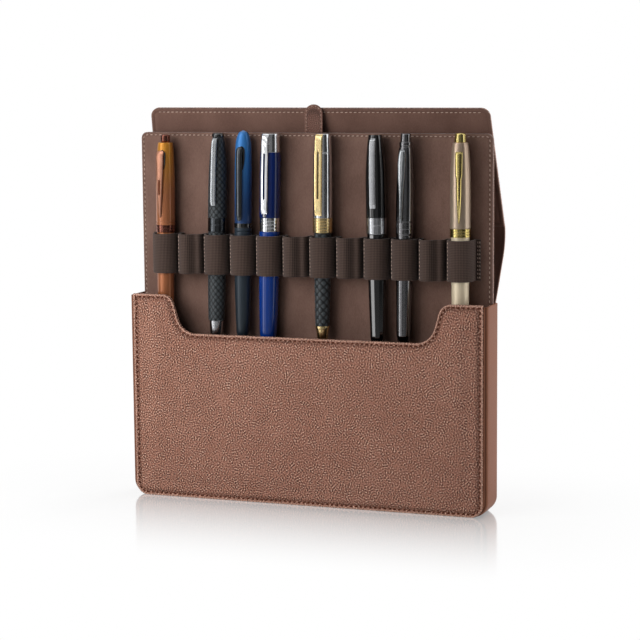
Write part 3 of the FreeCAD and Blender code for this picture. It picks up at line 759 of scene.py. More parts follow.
def swept_edge(name, line, steps, rows, finish, mark, foot_shade=0.0):
    """A closed profile carried along an open line, with both ends closed.

    A row is (inset, Y, mark); the mark of points close to the floor grows by foot_shade.
    """
    inset, depth, shade = np.array(rows, float).T
    flat = line[:, None, :] + steps[:, None, :] * inset[None, :, None]
    points = np.stack([flat[..., 0], np.broadcast_to(depth, flat.shape[:2]), flat[..., 1]], axis=-1)
    near_floor = 1 - smooth_step(0.4, 2.6, flat[..., 1])
    return make_piece(name, points, finish, marks={mark: shade + near_floor * foot_shade})


LINING_Y = span("front_lining")[0][1]
hem_line, hem_steps = open_edge(front_outline, 0.2)
hem_rows = [(0.05, FRONT_Y + 0.75), (0.05, LINING_Y + 0.2), (0.5, LINING_Y + 0.5), (1.6, LINING_Y + 0.55),
            (3.3, LINING_Y), (3.3, FRONT_Y + SKIN), (1.5, FRONT_Y + SKIN - 0.1)]
# Every point of the hem gets an inset of 0.6 mm, which paints the leather's rim highlight over the whole
# turned edge.
HEM_HIGHLIGHT_INSET = 0.6
hem_rows = [(inset, depth, HEM_HIGHLIGHT_INSET) for inset, depth in hem_rows]
hem = swept_edge("front_hem", hem_line, hem_steps, hem_rows, case_leather, "inset")
dress(hem, "case", "brown_leather")
print("hem length:", round(run_length(hem_line)[-1]), "mm")

# %% [markdown]
# ## Back, linings and gusset
# The back is a plain rectangle with round lower corners and thinner padding. The linings
# are thin suede, cut smaller than the leather. The gusset is one strip of smooth leather:
# its half section has a lip behind the panel, a folded bead, a groove and a round
# shoulder, and the other half is the same one turned over, so both come from one list.

# %% Back panel
back_high = span("back_leather")[1]
BACK_Y, BACK_TOP = back_high[1], back_high[2]
SEAM_TOP = BACK_TOP - 3.0


def case_outline(half, top, corner):
    """A rectangle from the floor up to a height, with round lower corners."""
    return rounded([(half, 0, corner), (half, top, 0), (-half, top, 0), (-half, 0, corner)])


back_outline = case_outline(HALF, SEAM_TOP, FACE_CORNER)
back_cover = panel("back_cover", back_outline, leather_rows(BACK_Y, 1, SKIN), case_leather,
                   (62.0, 96.0, 2.5), back_lift=waves(0.1, 110, 1.3, rise=0.6 * PADDING))
dress(back_cover, "case", "brown_leather", "back_leather")
back_seam = seam("back_cover_stitches", back_outline, STITCH_INSET, BACK_Y - 0.5, 1, dark_thread,
                 thick=0.42, slant=0.12)
dress(back_seam, "case", "brown_leather")
print("back is", round(BACK_TOP, 1), "mm high")

# %% Linings
def cut_back(outline, margin):
    """An outline moved inwards; the points that gather in a sharp corner become one."""
    moved = inner_ring(outline, inward(outline), margin)
    gap = np.linalg.norm(np.roll(moved, -1, axis=0) - moved, axis=1)
    return moved[gap > 0.05]


def lining(name, node, outline):
    """A thin suede sheet in a lining node's place."""
    low, high = span(node)
    rows = [(6.0, low[1]), (0.4, low[1]), (0.0, low[1] + 0.15),
            (0.0, high[1] - 0.15), (0.4, high[1]), (6.0, high[1])]
    piece = panel(name, cut_back(outline, 1.5), rows, box_suede, (58.0, 94.0, 2.5))
    return dress(piece, "case", "suede_lining", node)


lining("front_room_lining", "front_lining", front_outline)
lining("back_room_lining", "back_lining", case_outline(HALF, BACK_TOP, FACE_CORNER))
print("linings hang in the box")

# %% Gusset
G_HALF, G_EDGE, G_TOP = span("gusset")[1]
G_CORNER, G_WALL = 9.7, 1.5
LIP = G_HALF - HALF + 3.4
FOOT_SHADE = 0.8


def gusset_line():
    """The gusset's outer line: down the left side, under the foot and up the right side."""
    ring = case_outline(G_HALF, G_TOP, G_CORNER)
    steps = inward(ring)
    left = int(np.argmin(np.linalg.norm(ring - (-G_HALF, G_TOP), axis=1)))
    right = int(np.argmin(np.linalg.norm(ring - (G_HALF, G_TOP), axis=1)))
    ring, steps = np.roll(ring, -left, axis=0), np.roll(steps, -left, axis=0)
    count = (right - left) % len(ring) + 1
    line, steps = ring[:count], steps[:count].copy()
    steps[0], steps[-1] = (1, 0), (-1, 0)
    return line, steps


# One half of the profile: lip, folded bead, groove, round shoulder; (inset, Y, shade)
half_profile = [(LIP, G_EDGE - 1.1, 0), (LIP, G_EDGE - 0.05, 0), (3.0, G_EDGE - 0.05, 1),
                (2.62, G_EDGE + 0.15, 0.8), (2.3, G_EDGE + 0.42, 0.1), (1.95, G_EDGE + 0.4, 0.1),
                (1.65, G_EDGE + 0.1, 0.8), (1.5, G_EDGE - 0.3, 1), (1.3, G_EDGE - 0.55, 1),
                (0.95, G_EDGE - 0.7, 0.5), (0.5, G_EDGE - 1.05, 0.2), (0.2, G_EDGE - 1.6, 0.1),
                (0.04, G_EDGE - 2.4, 0), (-0.03, G_EDGE - 5.0, 0), (-0.1, G_EDGE - 9.0, 0)]
gusset_rows = [(inset, -depth, shade) for inset, depth, shade in half_profile]
gusset_rows += [(-0.12, 0.0, 0)] + half_profile[::-1]
gusset_rows += [(G_WALL, G_EDGE - 1.3, 0), (G_WALL, 1.3 - G_EDGE, 0)]
strip_run, strip_steps = gusset_line()
gusset_strip = swept_edge("gusset_strip", strip_run, strip_steps, gusset_rows, edge_leather, "shade",
                          FOOT_SHADE)
dress(gusset_strip, "case", "gusset_leather", "gusset")
print("gusset runs", round(run_length(strip_run)[-1]), "mm")

# %% [markdown]
# ## The flap
# One soft sheet leaves the back edge, swells outwards in a curve and turns up into a half
# that is stiffened by a card. Leather is outside and suede is inside. The curve crosses
# two joints of the frame, at the back edge and at the fold, so each skin is cut in two at
# the middle of the curve, where no joint bends it.

# %% Soft curve behind the case
HINGE = np.array(joint("flap_open")["pos_m"])[1:] / MM
FOLD = np.array(joint("flap_fold")["pos_m"])[1:] / MM
STRIP_ANGLE, FLAP_TILT = math.radians(30.0), math.radians(15.6)
STRIP_RUN, STRIP_BEND = 32.5, 25.0
SUEDE, CARD = 0.8, 0.8


def strip_line(offset, start):
    """The curve in (Y, Z) at a distance outside its middle.

    It is a cubic lead-in from start, a straight run from the back edge and an arc that ends
    at the fold.
    """
    away = np.array([math.cos(STRIP_ANGLE), -math.sin(STRIP_ANGLE)])
    ahead = np.array([math.sin(STRIP_ANGLE), math.cos(STRIP_ANGLE)])
    foot = HINGE + away * offset + ahead * 3.0
    share = np.linspace(0, 1, 14)[:-1, None]
    pull = np.linalg.norm(foot - start) * 0.42
    first, second = start + np.array([0, pull]), foot - ahead * pull
    lead = (start * (1 - share) ** 3 + first * 3 * share * (1 - share) ** 2
            + second * 3 * share ** 2 * (1 - share) + foot * share ** 3)
    run = HINGE + away * offset + ahead * np.linspace(3.0, STRIP_RUN, 16)[:-1, None]
    centre = HINGE + ahead * STRIP_RUN - away * STRIP_BEND
    angle = np.linspace(-STRIP_ANGLE, FLAP_TILT, 22)[:, None]
    arc = centre + (STRIP_BEND + offset) * np.concatenate([np.cos(angle), np.sin(angle)], axis=1)
    return np.concatenate([lead, run, arc])


def cloth_band(name, line, half_widths, thick, finish):
    """A sheet of even thickness: a (Y, Z) line carried across X, with round side edges.

    Columns run round the sheet: across the outside, round the right edge, back across the
    inside and round the left edge. Slow waves move it a little, as hand-laid leather.
    """
    out = right_of(line)
    across, face, bulge = np.linspace(-1, 1, 90), np.full(90, thick / 2), 1.0012
    edge = np.array([0.35, 0.92, 0.92, 0.35]) * thick / 2
    share = np.concatenate([across, [bulge, bulge], across[::-1], [-bulge, -bulge]])
    rise = np.concatenate([face, edge[:2] * (1, -0.4), -face, edge[2:] * (-1, 0.4)])
    x = half_widths[:, None] * share[None, :]
    y, z = line[:, 0][:, None], line[:, 1][:, None]
    offset = rise[None, :] + 0.25 * wander(x, z, 88, 0.9) * smooth_step(138, 150, z)
    points = np.stack([x, y + out[:, 0][:, None] * offset, z + out[:, 1][:, None] * offset], axis=-1)
    inset = np.broadcast_to(half_widths[:, None] * (1 - np.abs(share))[None, :], points.shape[:2])
    # The mark inset starts at 0.7 mm at the side edges, so the leather gets its painted rim highlight
    # there.
    return make_piece(name, points, finish, marks={"inset": inset + 0.7})


def flap_curve(layer, offset, thick, start, finish, slot, *nodes):
    """One skin of the curve, cut at its middle into two pieces."""
    line = strip_line(offset, np.array(start))
    widths = np.interp(line[:, 1], [BACK_TOP, FOLD[1]], [HALF + 0.2, HALF + 1.2])
    cut = len(line) // 2 + 4
    lower = cloth_band("flap_curve_%s_lower" % layer, line[:cut + 1], widths[:cut + 1], thick, finish)
    upper = cloth_band("flap_curve_%s_upper" % layer, line[cut:], widths[cut:], thick, finish)
    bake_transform(lower)
    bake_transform(upper)
    if nodes:
        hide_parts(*nodes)
        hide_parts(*nodes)


leather_start = (BACK_Y - SKIN / 2, SEAM_TOP - 1.5)
suede_start = (span("back_lining")[0][1] + 0.4, BACK_TOP - 3.2)
flap_curve("leather", 0.4, SKIN, leather_start, case_leather, "brown_leather", "flap_strip")
flap_curve("suede", -0.6, SUEDE, suede_start, flap_suede, "suede_lining")
print("flap folds at", FOLD.round(1), "and hinges at", HINGE.round(1))

# %% Stiff half of the flap
FLAP_LENGTH, FLAP_TOP_HALF = 79.5, 117.5
flap_outline = rounded([(FLAP_TOP_HALF, FLAP_LENGTH, 6.0), (-FLAP_TOP_HALF, FLAP_LENGTH, 6.0),
                        (-HALF - 1.1, 0, 0), (HALF + 1.1, 0, 0)])


def lean(points):
    """Stand flap points (x, depth, height) on the fold line, tilted to the front."""
    depth, rise = points[..., 1], points[..., 2]
    y = FOLD[0] + depth * math.cos(FLAP_TILT) - rise * math.sin(FLAP_TILT)
    z = FOLD[1] + rise * math.cos(FLAP_TILT) + depth * math.sin(FLAP_TILT)
    return np.stack([points[..., 0], y, z], axis=-1)


OUTER, INNER = CARD / 2 + SKIN, -CARD / 2 - SUEDE
FLAP_RIM, FLAP_SEAM = 5.6, 2.6
suede_rise = [(FLAP_RIM, -0.1), (4.6, -0.08), (3.6, 0.0), (3.0, 0.12), (FLAP_SEAM, 0.25), (2.2, 0.12),
              (1.5, 0.0), (0.6, 0.0), (0.15, 0.15), (0.0, 0.45), (0.0, SUEDE), (2.5, SUEDE), (3.2, SUEDE),
              (FLAP_RIM, SUEDE)]
inner_rows = [(inset, INNER + rise) for inset, rise in suede_rise]
outer_rows = [(FLAP_RIM, CARD / 2), (3.0, CARD / 2), (2.4, -0.3), (0.0, INNER + SUEDE + 0.05),
              (0.0, OUTER - 0.5)]
outer_rows += [(inset, OUTER + out) for inset, out in PADDED[::-1] if inset < FLAP_RIM]
flap_middle, flap_wave = (38.0, 90.0, 2.5), waves(0.22, 120, 2.0)
flap_lining = panel("flap_lining", flap_outline, inner_rows, flap_suede, flap_middle,
                    lift=flap_wave, stand=lean)
dress(flap_lining, "flap_end", "suede_lining", "flap_suede")
flap_cover = panel("flap_cover", flap_outline, outer_rows, case_leather, flap_middle,
                   back_lift=flap_wave, stand=lean)
dress(flap_cover, "flap_end", "brown_leather", "flap_leather")
for side, depth, facing in (("inner", INNER + 0.12, -1), ("outer", OUTER - 0.4, 1)):
    top_run = np.linspace(FLAP_TOP_HALF - 5.0, 5.0 - FLAP_TOP_HALF, 200)
    flat = np.stack([top_run, np.full(200, depth), np.full(200, FLAP_LENGTH - FLAP_SEAM)], axis=1)
    normal = lean(np.array([0.0, facing, 0.0])) - lean(np.zeros(3))
    row = stitches("flap_stitches_" + side, lean(flat), normal, pale_thread if facing < 0 else dark_thread,
                   pitch=3.1, length=1.9, thick=0.26, closed=False)
    dress(row, "flap_end", "suede_lining")
print("flap top at", round(float(lean(np.array([0, 0, FLAP_LENGTH]))[2]), 1), "mm")

# %% [markdown]
# ## The board and its pull tab
# The board is a card between suede in front and leather behind. The suede is drawn round
# the card's edge, so its profile goes round that edge too. The tab is one strip of leather
# sewn to the board's back. It crosses the joint at the board's top, and it is one piece.

# %% Board
board_low, board_high = span("insert_suede")
BOARD_Y, BOARD_HALF, BOARD_TOP, BOARD_FOOT = board_low[1], board_high[0], board_high[2], board_low[2]
BOARD_BACK = span("insert_leather")[1][1]
CARD_FRONT, CARD_BACK = span("insert_card")[0][1], span("insert_card")[1][1]
board_outline = rounded([(BOARD_HALF, BOARD_FOOT, 9), (BOARD_HALF, BOARD_TOP, 4),
                         (-BOARD_HALF, BOARD_TOP, 4), (-BOARD_HALF, BOARD_FOOT, 9)])
BOARD_RIM, BOARD_SEAM = 3.9, 1.8
board_middle = (174.0, 92.0, 2.5)
# How far the suede's face stands back from BOARD_Y, from the flat middle out to the edge
suede_dip = [(BOARD_RIM, -0.12), (3.2, -0.08), (2.6, 0.02), (2.15, 0.2), (BOARD_SEAM, 0.26), (1.45, 0.14),
             (1.0, -0.04), (0.5, -0.02), (0.15, 0.14), (0.0, 0.45)]
suede_rows = [(inset, BOARD_Y + dip) for inset, dip in suede_dip]
suede_rows += [(0.0, CARD_BACK - 0.05), (0.75, CARD_BACK - 0.05),
               (0.78, CARD_FRONT), (BOARD_RIM, CARD_FRONT)]
board_front = panel("board_suede_front", board_outline, suede_rows, board_suede, board_middle,
                    lift=waves(-0.12, 105, 0.2))
dress(board_front, "board", "suede_lining", "insert_suede")
back_rows = [(BOARD_RIM, CARD_BACK), (0.02, CARD_BACK), (0.0, BOARD_BACK - 0.5)]
back_rows += [(inset, BOARD_BACK + out * 0.6) for inset, out in PADDED[::-1] if inset < BOARD_RIM]
board_back = panel("board_leather_back", board_outline, back_rows, case_leather, board_middle)
dress(board_back, "board", "brown_leather", "insert_leather")
board_seam = seam("board_stitches_front", board_outline, BOARD_SEAM, BOARD_Y + 0.16, -1, pale_thread,
                  pitch=3.1, length=1.9, thick=0.31)
dress(board_seam, "board", "suede_lining")
board_back_seam = seam("board_stitches_back", board_outline, STITCH_INSET, BOARD_BACK - 0.26, 1,
                       dark_thread, pitch=3.1, length=2.1, thick=0.3)
dress(board_back_seam, "board", "brown_leather")
print("board top", BOARD_TOP, "mm, thickness", round(BOARD_BACK - BOARD_Y, 2), "mm")

# %% Pull tab
tab_low, tab_high = span("pull_tab_root")
TAB_HALF, TAB_FRONT, TAB_BACK = tab_high[0], tab_low[1], tab_high[1]
TAB_FOOT, TAB_TOP = tab_low[2], span("pull_tab")[1][2]
tab_outline = rounded([(TAB_HALF, TAB_FOOT, 1.5), (TAB_HALF, TAB_TOP, TAB_HALF - 0.05),
                       (-TAB_HALF, TAB_TOP, TAB_HALF - 0.05), (-TAB_HALF, TAB_FOOT, 1.5)], step=0.6)
tab_dip = [(1.45, 0.02), (1.3, 0.16), (1.1, 0.22), (0.9, 0.12), (0.6, -0.02), (0.2, 0.08), (0.0, 0.4)]
tab_rows = [(inset, TAB_FRONT + dip) for inset, dip in tab_dip]
tab_rows += [(0.0, TAB_BACK - 0.4), (0.2, TAB_BACK - 0.08), (0.6, TAB_BACK), (1.45, TAB_BACK)]
tab_middle = ((TAB_FOOT + TAB_TOP) / 2, 3.0, 0.8)
tab_piece = panel("pull_tab_strap", tab_outline, tab_rows, tab_leather, tab_middle,
                  lift=waves(-0.12, 9, 0.7))
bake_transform(tab_piece)
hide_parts("pull_tab", "pull_tab_root")
tab_seam = seam("pull_tab_stitches", tab_outline, 1.15, TAB_FRONT + 0.16, -1, pale_thread,
                pitch=2.5, length=1.5, thick=0.2)
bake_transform(tab_seam)
print("tab stands", round(TAB_TOP - BOARD_TOP, 1), "mm above the board")

# %% [markdown]
# ## Twelve elastic loops
# One length of ribbed elastic is sewn down between the pens, so that each stretch stands
# up as a loop. Seen from above, a loop is a foot, a small bend, a flank, a half circle
# and the same again. A thin rectangle is carried along that line, and a fine wave across
# the line raises the ribs, which run up and down the pen. Elastic that holds no pen goes
# slack, so the empty loops get a dent to the right of their front.

# %% Loop line
LOOPS, EMPTY_LOOPS = 12, (2, 6, 8, 11)
band_low, band_high = span("elastic_loop_02")
PITCH = (span("elastic_loop_11")[0][0] - band_low[0]) / 9
FIRST_LOOP = (band_low[0] + band_high[0]) / 2 - PITCH
ELASTIC, AXIS_OUT = 1.1, 7.5
BAND_FOOT, BAND_TOP = band_low[2], band_high[2]
BAND_RADIUS = (band_high[1] - band_low[1]) - AXIS_OUT - ELASTIC / 2
BAND_AXIS = BOARD_Y - AXIS_OUT
FOOT_Y = BOARD_Y - ELASTIC / 2
FOOT_BEND, END_FOOT = 0.9, 2.2
RIB_PITCH, RIB_HEIGHT, RIB_POINTS = 0.92, 0.13, 6
SLACK, SLACK_X, SLACK_WIDTH = 3.4, 4.2, 3.4


def loop_centre(number):
    """The X of a loop's middle, counted from the left."""
    return FIRST_LOOP + (number - 1) * PITCH


def loop_line(left, right, spacing):
    """Points in (X, Y) from the left foot's end over the loop to the right foot's end."""
    quarter = np.linspace(0, math.pi / 2, 7)
    bend_x, bend_y = -BAND_RADIUS - FOOT_BEND, FOOT_Y - FOOT_BEND
    bend = np.stack([bend_x + FOOT_BEND * np.sin(quarter), bend_y + FOOT_BEND * np.cos(quarter)], axis=1)
    half = np.linspace(math.pi, 1.5 * math.pi, 30)
    front = np.stack([BAND_RADIUS * np.cos(half), BAND_AXIS + BAND_RADIUS * np.sin(half)], axis=1)
    one_side = np.concatenate([bend, front])
    other_side = one_side[::-1][1:] * (-1, 1)
    knots = np.concatenate([[(-left, FOOT_Y)], one_side, other_side, [(right, FOOT_Y)]])
    along = run_length(knots)
    at = np.linspace(0, along[-1], int(along[-1] / spacing))
    return np.stack([np.interp(at, along, knots[:, axis]) for axis in (0, 1)], axis=1), at


def make_loop(number):
    """One stretch of ribbed elastic, carried along its line.

    Its section is a list of (outwards, height) points round a thin bar with round ends. The
    ribs move only the two faces, and the bar is a little lower where the elastic is pulled.
    """
    half = PITCH / 2 - 0.03
    left = half + (END_FOOT if number == 1 else 0)
    right = half + (END_FOOT if number == LOOPS else 0)
    line, at = loop_line(left, right, RIB_PITCH / RIB_POINTS)
    if number in EMPTY_LOOPS:
        in_front = 1 - smooth_step(BAND_AXIS - BAND_RADIUS, BAND_AXIS - 1.5, line[:, 1])
        line[:, 1] += SLACK * np.exp(-((line[:, 0] - SLACK_X) / SLACK_WIDTH) ** 2) * in_front
    rib = 0.5 + 0.5 * np.cos(at * 2 * math.pi / RIB_PITCH)
    thick, tall, round_off = ELASTIC / 2, (BAND_TOP - BAND_FOOT) / 2, 0.35
    heights = np.array([-tall + round_off, -tall / 2, 0, tall / 2, tall - round_off])
    face = np.stack([np.full(5, thick), heights], axis=1)
    end = np.array([(thick - 0.12, tall - 0.1), (thick - 0.4, tall),
                    (0.4 - thick, tall), (0.12 - thick, tall - 0.1)])
    section = np.concatenate([face, end, face[::-1] * (-1, 1), end[::-1] * (1, -1)])
    on_face = (np.abs(section[:, 0]) >= thick - 1e-6).astype(float) * np.sign(section[:, 0])
    offset = section[None, :, 0] + on_face[None, :] * (rib[:, None] - 0.6) * RIB_HEIGHT
    narrower = 0.09 * np.sin(at / at[-1] * math.pi) ** 2
    flat = line[:, None, :] + right_of(line)[:, None, :] * offset[:, :, None]
    z = (BAND_FOOT + BAND_TOP) / 2 + section[None, :, 1] - narrower[:, None] * np.sign(section[None, :, 1])
    points = np.stack([flat[..., 0] + loop_centre(number), flat[..., 1], z], axis=-1)
    marks = {"rib": np.broadcast_to(rib[:, None], points.shape[:2])}
    piece = make_piece("pen_loop_%02d" % number, points, loop_elastic, marks=marks)
    return dress(piece, "board", "brown_elastic", "elastic_loop_%02d" % number)


for number in range(1, LOOPS + 1):
    make_loop(number)
print("loops every", round(PITCH, 2), "mm")

# %% [markdown]
# ## Loop seams
# A pale seam shows up the left flank of each loop but the first, and two stand side by
# side at each end of the elastic, where its cut ends are sewn down.

# %% Seams of the elastic
SEAM_TURN = math.radians(55)
FLANK = np.array([-math.sin(SEAM_TURN), -math.cos(SEAM_TURN)])
flank_x, flank_y = FLANK * (BAND_RADIUS + ELASTIC / 2 + 0.05)
END_SEAM_Y = BOARD_Y - ELASTIC - 0.1
end_seams = {"left": loop_centre(1) - PITCH / 2 - 1.0, "right": loop_centre(LOOPS) + PITCH / 2 + 1.0}


def loop_seam(label, x, y, outward):
    """A straight upright seam on the elastic."""
    path = np.array([(x, y, BAND_FOOT + 0.8), (x, y, BAND_TOP - 0.8)])
    row = stitches("loop_seam_" + label, path, outward, pale_thread, pitch=2.5, length=1.4, thick=0.3,
                   closed=False)
    dress(row, "board", "brown_elastic")


for number in range(2, LOOPS + 1):
    loop_seam("%02d" % number, loop_centre(number) + flank_x, BAND_AXIS + flank_y, (*FLANK, 0))
for side, x in end_seams.items():
    loop_seam(side + "_a", x - 0.55, END_SEAM_Y, (0, -1, 0))
    loop_seam(side + "_b", x + 0.75, END_SEAM_Y, (0, -1, 0))
print("seams on the elastic:", LOOPS - 1 + 2 * len(end_seams))

# %% [markdown]
# ## Eight pens
# A pen is turned on a lathe, so a half section spun round its axis gives every cap, ring
# and barrel. Real edges are never quite sharp, and a thin bright line on each edge is
# what makes metal look like metal, so every corner of a section is cut by a tiny round.
# Carved and faceted barrels add a second pattern, round the pen, to that radius. A clip
# is a flat strip whose width and distance from the cap both change along its length.

# %% Sections for the lathe
EDGE_ROUND = 0.14
SPIGOT_TOP, SPIGOT_RADIUS = 190, 3.0


def eased(section):
    """A section of (height, radius) corners, top first, closed on the axis.

    Each corner becomes a small quadratic curve that starts and ends EDGE_ROUND from it.
    """
    corners = np.array([(section[0][0], 0.0), *section, (section[-1][0], 0.0)], float)
    runs = [corners[:1]]
    share = np.linspace(0, 1, 4)[:, None]
    for before, corner, after in zip(corners[:-2], corners[1:-1], corners[2:]):
        ends = []
        for side in (before, after):
            gap = np.linalg.norm(side - corner)
            ends.append(corner + (side - corner) / max(gap, 1e-9) * min(EDGE_ROUND, gap * 0.45))
        runs.append(ends[0] * (1 - share) ** 2 + corner * 2 * share * (1 - share) + ends[1] * share ** 2)
    runs.append(corners[-1:])
    return np.concatenate(runs)


def at_height(pairs, height):
    """What (height, value) pairs, listed from the top down, give at other heights."""
    heights, values = zip(*pairs[::-1])
    return np.interp(height, heights, values)


def spigot(shoulder):
    """The thin neck of a barrel, which hides in the cap down to the barrel's shoulder."""
    return [(SPIGOT_TOP, SPIGOT_RADIUS), (shoulder, SPIGOT_RADIUS)]


def curve(high, low, top_radius, low_radius, power=2.0, count=14):
    """Corners of a side that starts at top_radius and eases into low_radius further down."""
    share = np.linspace(0, 1, count)
    radius = top_radius + (low_radius - top_radius) * (1 - (1 - share) ** power) ** (1 / power)
    return list(zip(high + (low - high) * share, radius))


def taper(high, low, top_radius, low_radius, power=1.6):
    """Corners of a barrel that stays full near the cap and narrows towards its end."""
    share = np.linspace(0, 1, 8)
    return list(zip(high + (low - high) * share, top_radius + (low_radius - top_radius) * share ** power))


def grooved(high, low, radius, grooves, depth, wide=0.4):
    """Corners of a ring with evenly spaced turned grooves."""
    corners = [(high, radius)]
    for number in range(grooves):
        middle = high + (low - high) * (number + 1) / (grooves + 1)
        corners += [(middle + wide / 2, radius), (middle + wide / 2, radius - depth),
                    (middle - wide / 2, radius - depth), (middle - wide / 2, radius)]
    return corners + [(low, radius)]


print("barrels hide", SPIGOT_TOP, "mm high in their caps")

# %% Pen
CLIP_ROWS, OVAL_END = 70, 1.2
# Thickness of the dark plate that paints a clip's shadow.
SHADOW_PLATE_THICK = 0.4


class Pen:
    """Where one pen stands: its loop, its lean and its axis, taken from the frame."""

    stands_for = {"cap_shell": "_cap", "barrel_turned": "_barrel"}

    def __init__(self, name, loop):
        self.name = name
        axis = joint(name + "_lift")["axis"]
        self.lean = math.atan2(axis[0], axis[2])
        low, high = span(name + "_cap")
        self.axis_y = (low[1] + high[1]) / 2
        self.centre = loop_centre(loop)
        self.pivot = (BAND_FOOT + BAND_TOP) / 2

    def stand(self, points):
        """Turn upright points (x, y, height) about the loop's middle by the lean."""
        x, rise = points[..., 0], points[..., 2] - self.pivot
        return np.stack([self.centre + x * math.cos(self.lean) + rise * math.sin(self.lean),
                         self.axis_y + points[..., 1],
                         self.pivot + rise * math.cos(self.lean) - x * math.sin(self.lean)], axis=-1)

    def turned(self, part, section, finish, slot, around=56, relief=None, spacing=2.0, aside=None):
        """Spin a section of (height, radius) corners, top first, round the pen's axis.

        relief gives a crest from 0 to 1 over angle and height and the depth of its cuts.
        aside moves the turned piece off the axis by a turn in degrees and a distance.
        """
        knots = eased(section)
        along = run_length(knots)
        at = np.unique(np.concatenate([along, np.arange(0, along[-1], spacing)]))
        height = np.interp(at, along, knots[:, 0])[:, None]
        radius = np.interp(at, along, knots[:, 1])[:, None]
        angle = np.linspace(0, 2 * math.pi, around, endpoint=False)[None, :]
        marks = None
        if relief:
            crest, depth = relief(angle, height)
            radius = radius + (crest - 1) * depth * np.clip(radius, 0, 1)
            marks = {"crest": crest + 0 * radius}
        x, y = radius * np.sin(angle), -radius * np.cos(angle)
        points = np.stack([x, y, height + 0 * x], axis=-1)
        if aside:
            turn, distance = math.radians(aside[0]), aside[1]
            points = points + np.array([-math.sin(turn), -math.cos(turn), 0]) * distance
        piece = make_piece("%s_%s" % (self.name, part), self.stand(points), finish, marks=marks)
        nodes = [self.name + self.stands_for[part]] if part in self.stands_for else []
        return dress(piece, self.name, slot, *nodes)

    def clip(self, part, turn, widths, reaches, finish, slot, crown, thick=0.85, window=None, oval=False):
        """A clip: half widths and distances from the axis at heights, with a long window.

        The outline runs down one side and up the other. The surface goes from the outline
        to the window's rim, or to the middle line where there is no window, then back
        along the inside. turn is the clip's place round the pen, in degrees to the left,
        crown is how far its middle stands above its sides, and oval rounds off its ends.
        """
        high, low = widths[0][0], widths[-1][0]
        share = 0.5 - 0.5 * np.cos(np.linspace(0, math.pi, CLIP_ROWS))
        height = high + (low - high) * share
        half = at_height(widths, height)
        if oval:
            end = np.minimum(np.minimum(high - height, height - low), OVAL_END) / OVAL_END
            half = half * np.sqrt(np.clip(1 - (1 - end) ** 2, 0, 1))
        ring_z = np.concatenate([height, height[::-1]])
        ring_x = np.concatenate([half, -half[::-1]])
        inner_z, inner_x = ring_z, ring_x * 0
        if window:
            top, bottom, gap = window
            inner_z = np.clip(ring_z, bottom, top)
            arch = np.clip(np.minimum(top - inner_z, inner_z - bottom) / gap, 0, 1)
            inner_x = np.sign(ring_x) * gap * np.sqrt(np.clip(1 - (1 - arch) ** 2, 0, 1))
        # Each row: share of the way from the outline to the inner line, depth under the face
        rows = [(0.0, thick * 0.85), (0.0, 0.18), (0.06, 0.03), (0.16, 0.0), (0.4, 0.0), (0.6, 0.0),
                (0.8, 0.0), (0.93, 0.0), (1.0, 0.1 if window else 0.0), (1.0, thick), (0.5, thick)]
        layers = []
        for share_in, depth in rows:
            x = ring_x + (inner_x - ring_x) * share_in
            z = ring_z + (inner_z - ring_z) * share_in
            bow = crown * (1 - np.clip(np.abs(x) / np.maximum(at_height(widths, z), 0.3), 0, 1) ** 2)
            layers.append([x, -(at_height(reaches, z) + bow * (depth < thick) - depth), z])
        x, y, z = np.array(layers).transpose(1, 0, 2)
        cos, sin = math.cos(math.radians(-turn)), math.sin(math.radians(-turn))
        points = np.stack([x * cos - y * sin, x * sin + y * cos, z], axis=-1)
        piece = make_piece("%s_%s" % (self.name, part), self.stand(points), finish, wrap_rows=True)
        return dress(piece, self.name, slot, self.name + "_clip")

    def clip_shadow_plate(self, turn, widths, reaches, slot):
        """A dark plate beside the clip that paints the clip's shadow on the cap."""
        return self.clip("clip_shadow_plate", turn, widths, reaches, black_gloss, slot, thick=SHADOW_PLATE_THICK,
                         crown=0.1, oval=True)


print("lathe and clip ready")

# %% Carving patterns
def carving(angle, height, count, twist, edge, depth):
    """Crossing spirals, count of them each way round, that leave lozenges between two cuts.

    The crest is the product of two sine waves that turn against each other with the height,
    raised to the power edge: 1 on a lozenge's crest and 0 in the cuts.
    """
    first = np.abs(np.sin(angle * count + height * twist))
    second = np.abs(np.sin(angle * count - height * twist))
    return np.clip(first * second * 1.4, 0, 1) ** edge, depth


def scales(angle, height):
    """Small pointed scales."""
    return carving(angle, height, 5.0, 0.72, 0.6, 0.38)


def hammered(angle, height):
    """Broader lozenges, cut deeper, as on a rough chiselled barrel."""
    return carving(angle, height, 3.0, 0.62, 0.7, 0.5)


def facets(angle, height):
    """A barrel with twelve nearly flat sides: the radius of a polygon over that of a circle."""
    side = 2 * math.pi / 12
    around = np.mod(angle, side) - side / 2
    return np.cos(side / 2) / np.cos(around) + 0 * height, 5.5


SMOOTH = dict(around=72)
SCALED = dict(around=168, relief=scales, spacing=0.42)
HAMMERED = dict(around=168, relief=hammered, spacing=0.5)
FACETED = dict(around=96, relief=facets)
print("carving ready")

# %% [markdown]
# ## Pen by pen
# All heights are millimetres above the floor at rest, as in the frame. Each pen is a few
# turned parts and a clip. A turned part is a list of (height, radius) corners. A clip has
# two lists, its half widths and its distances from the axis, both from the top down.

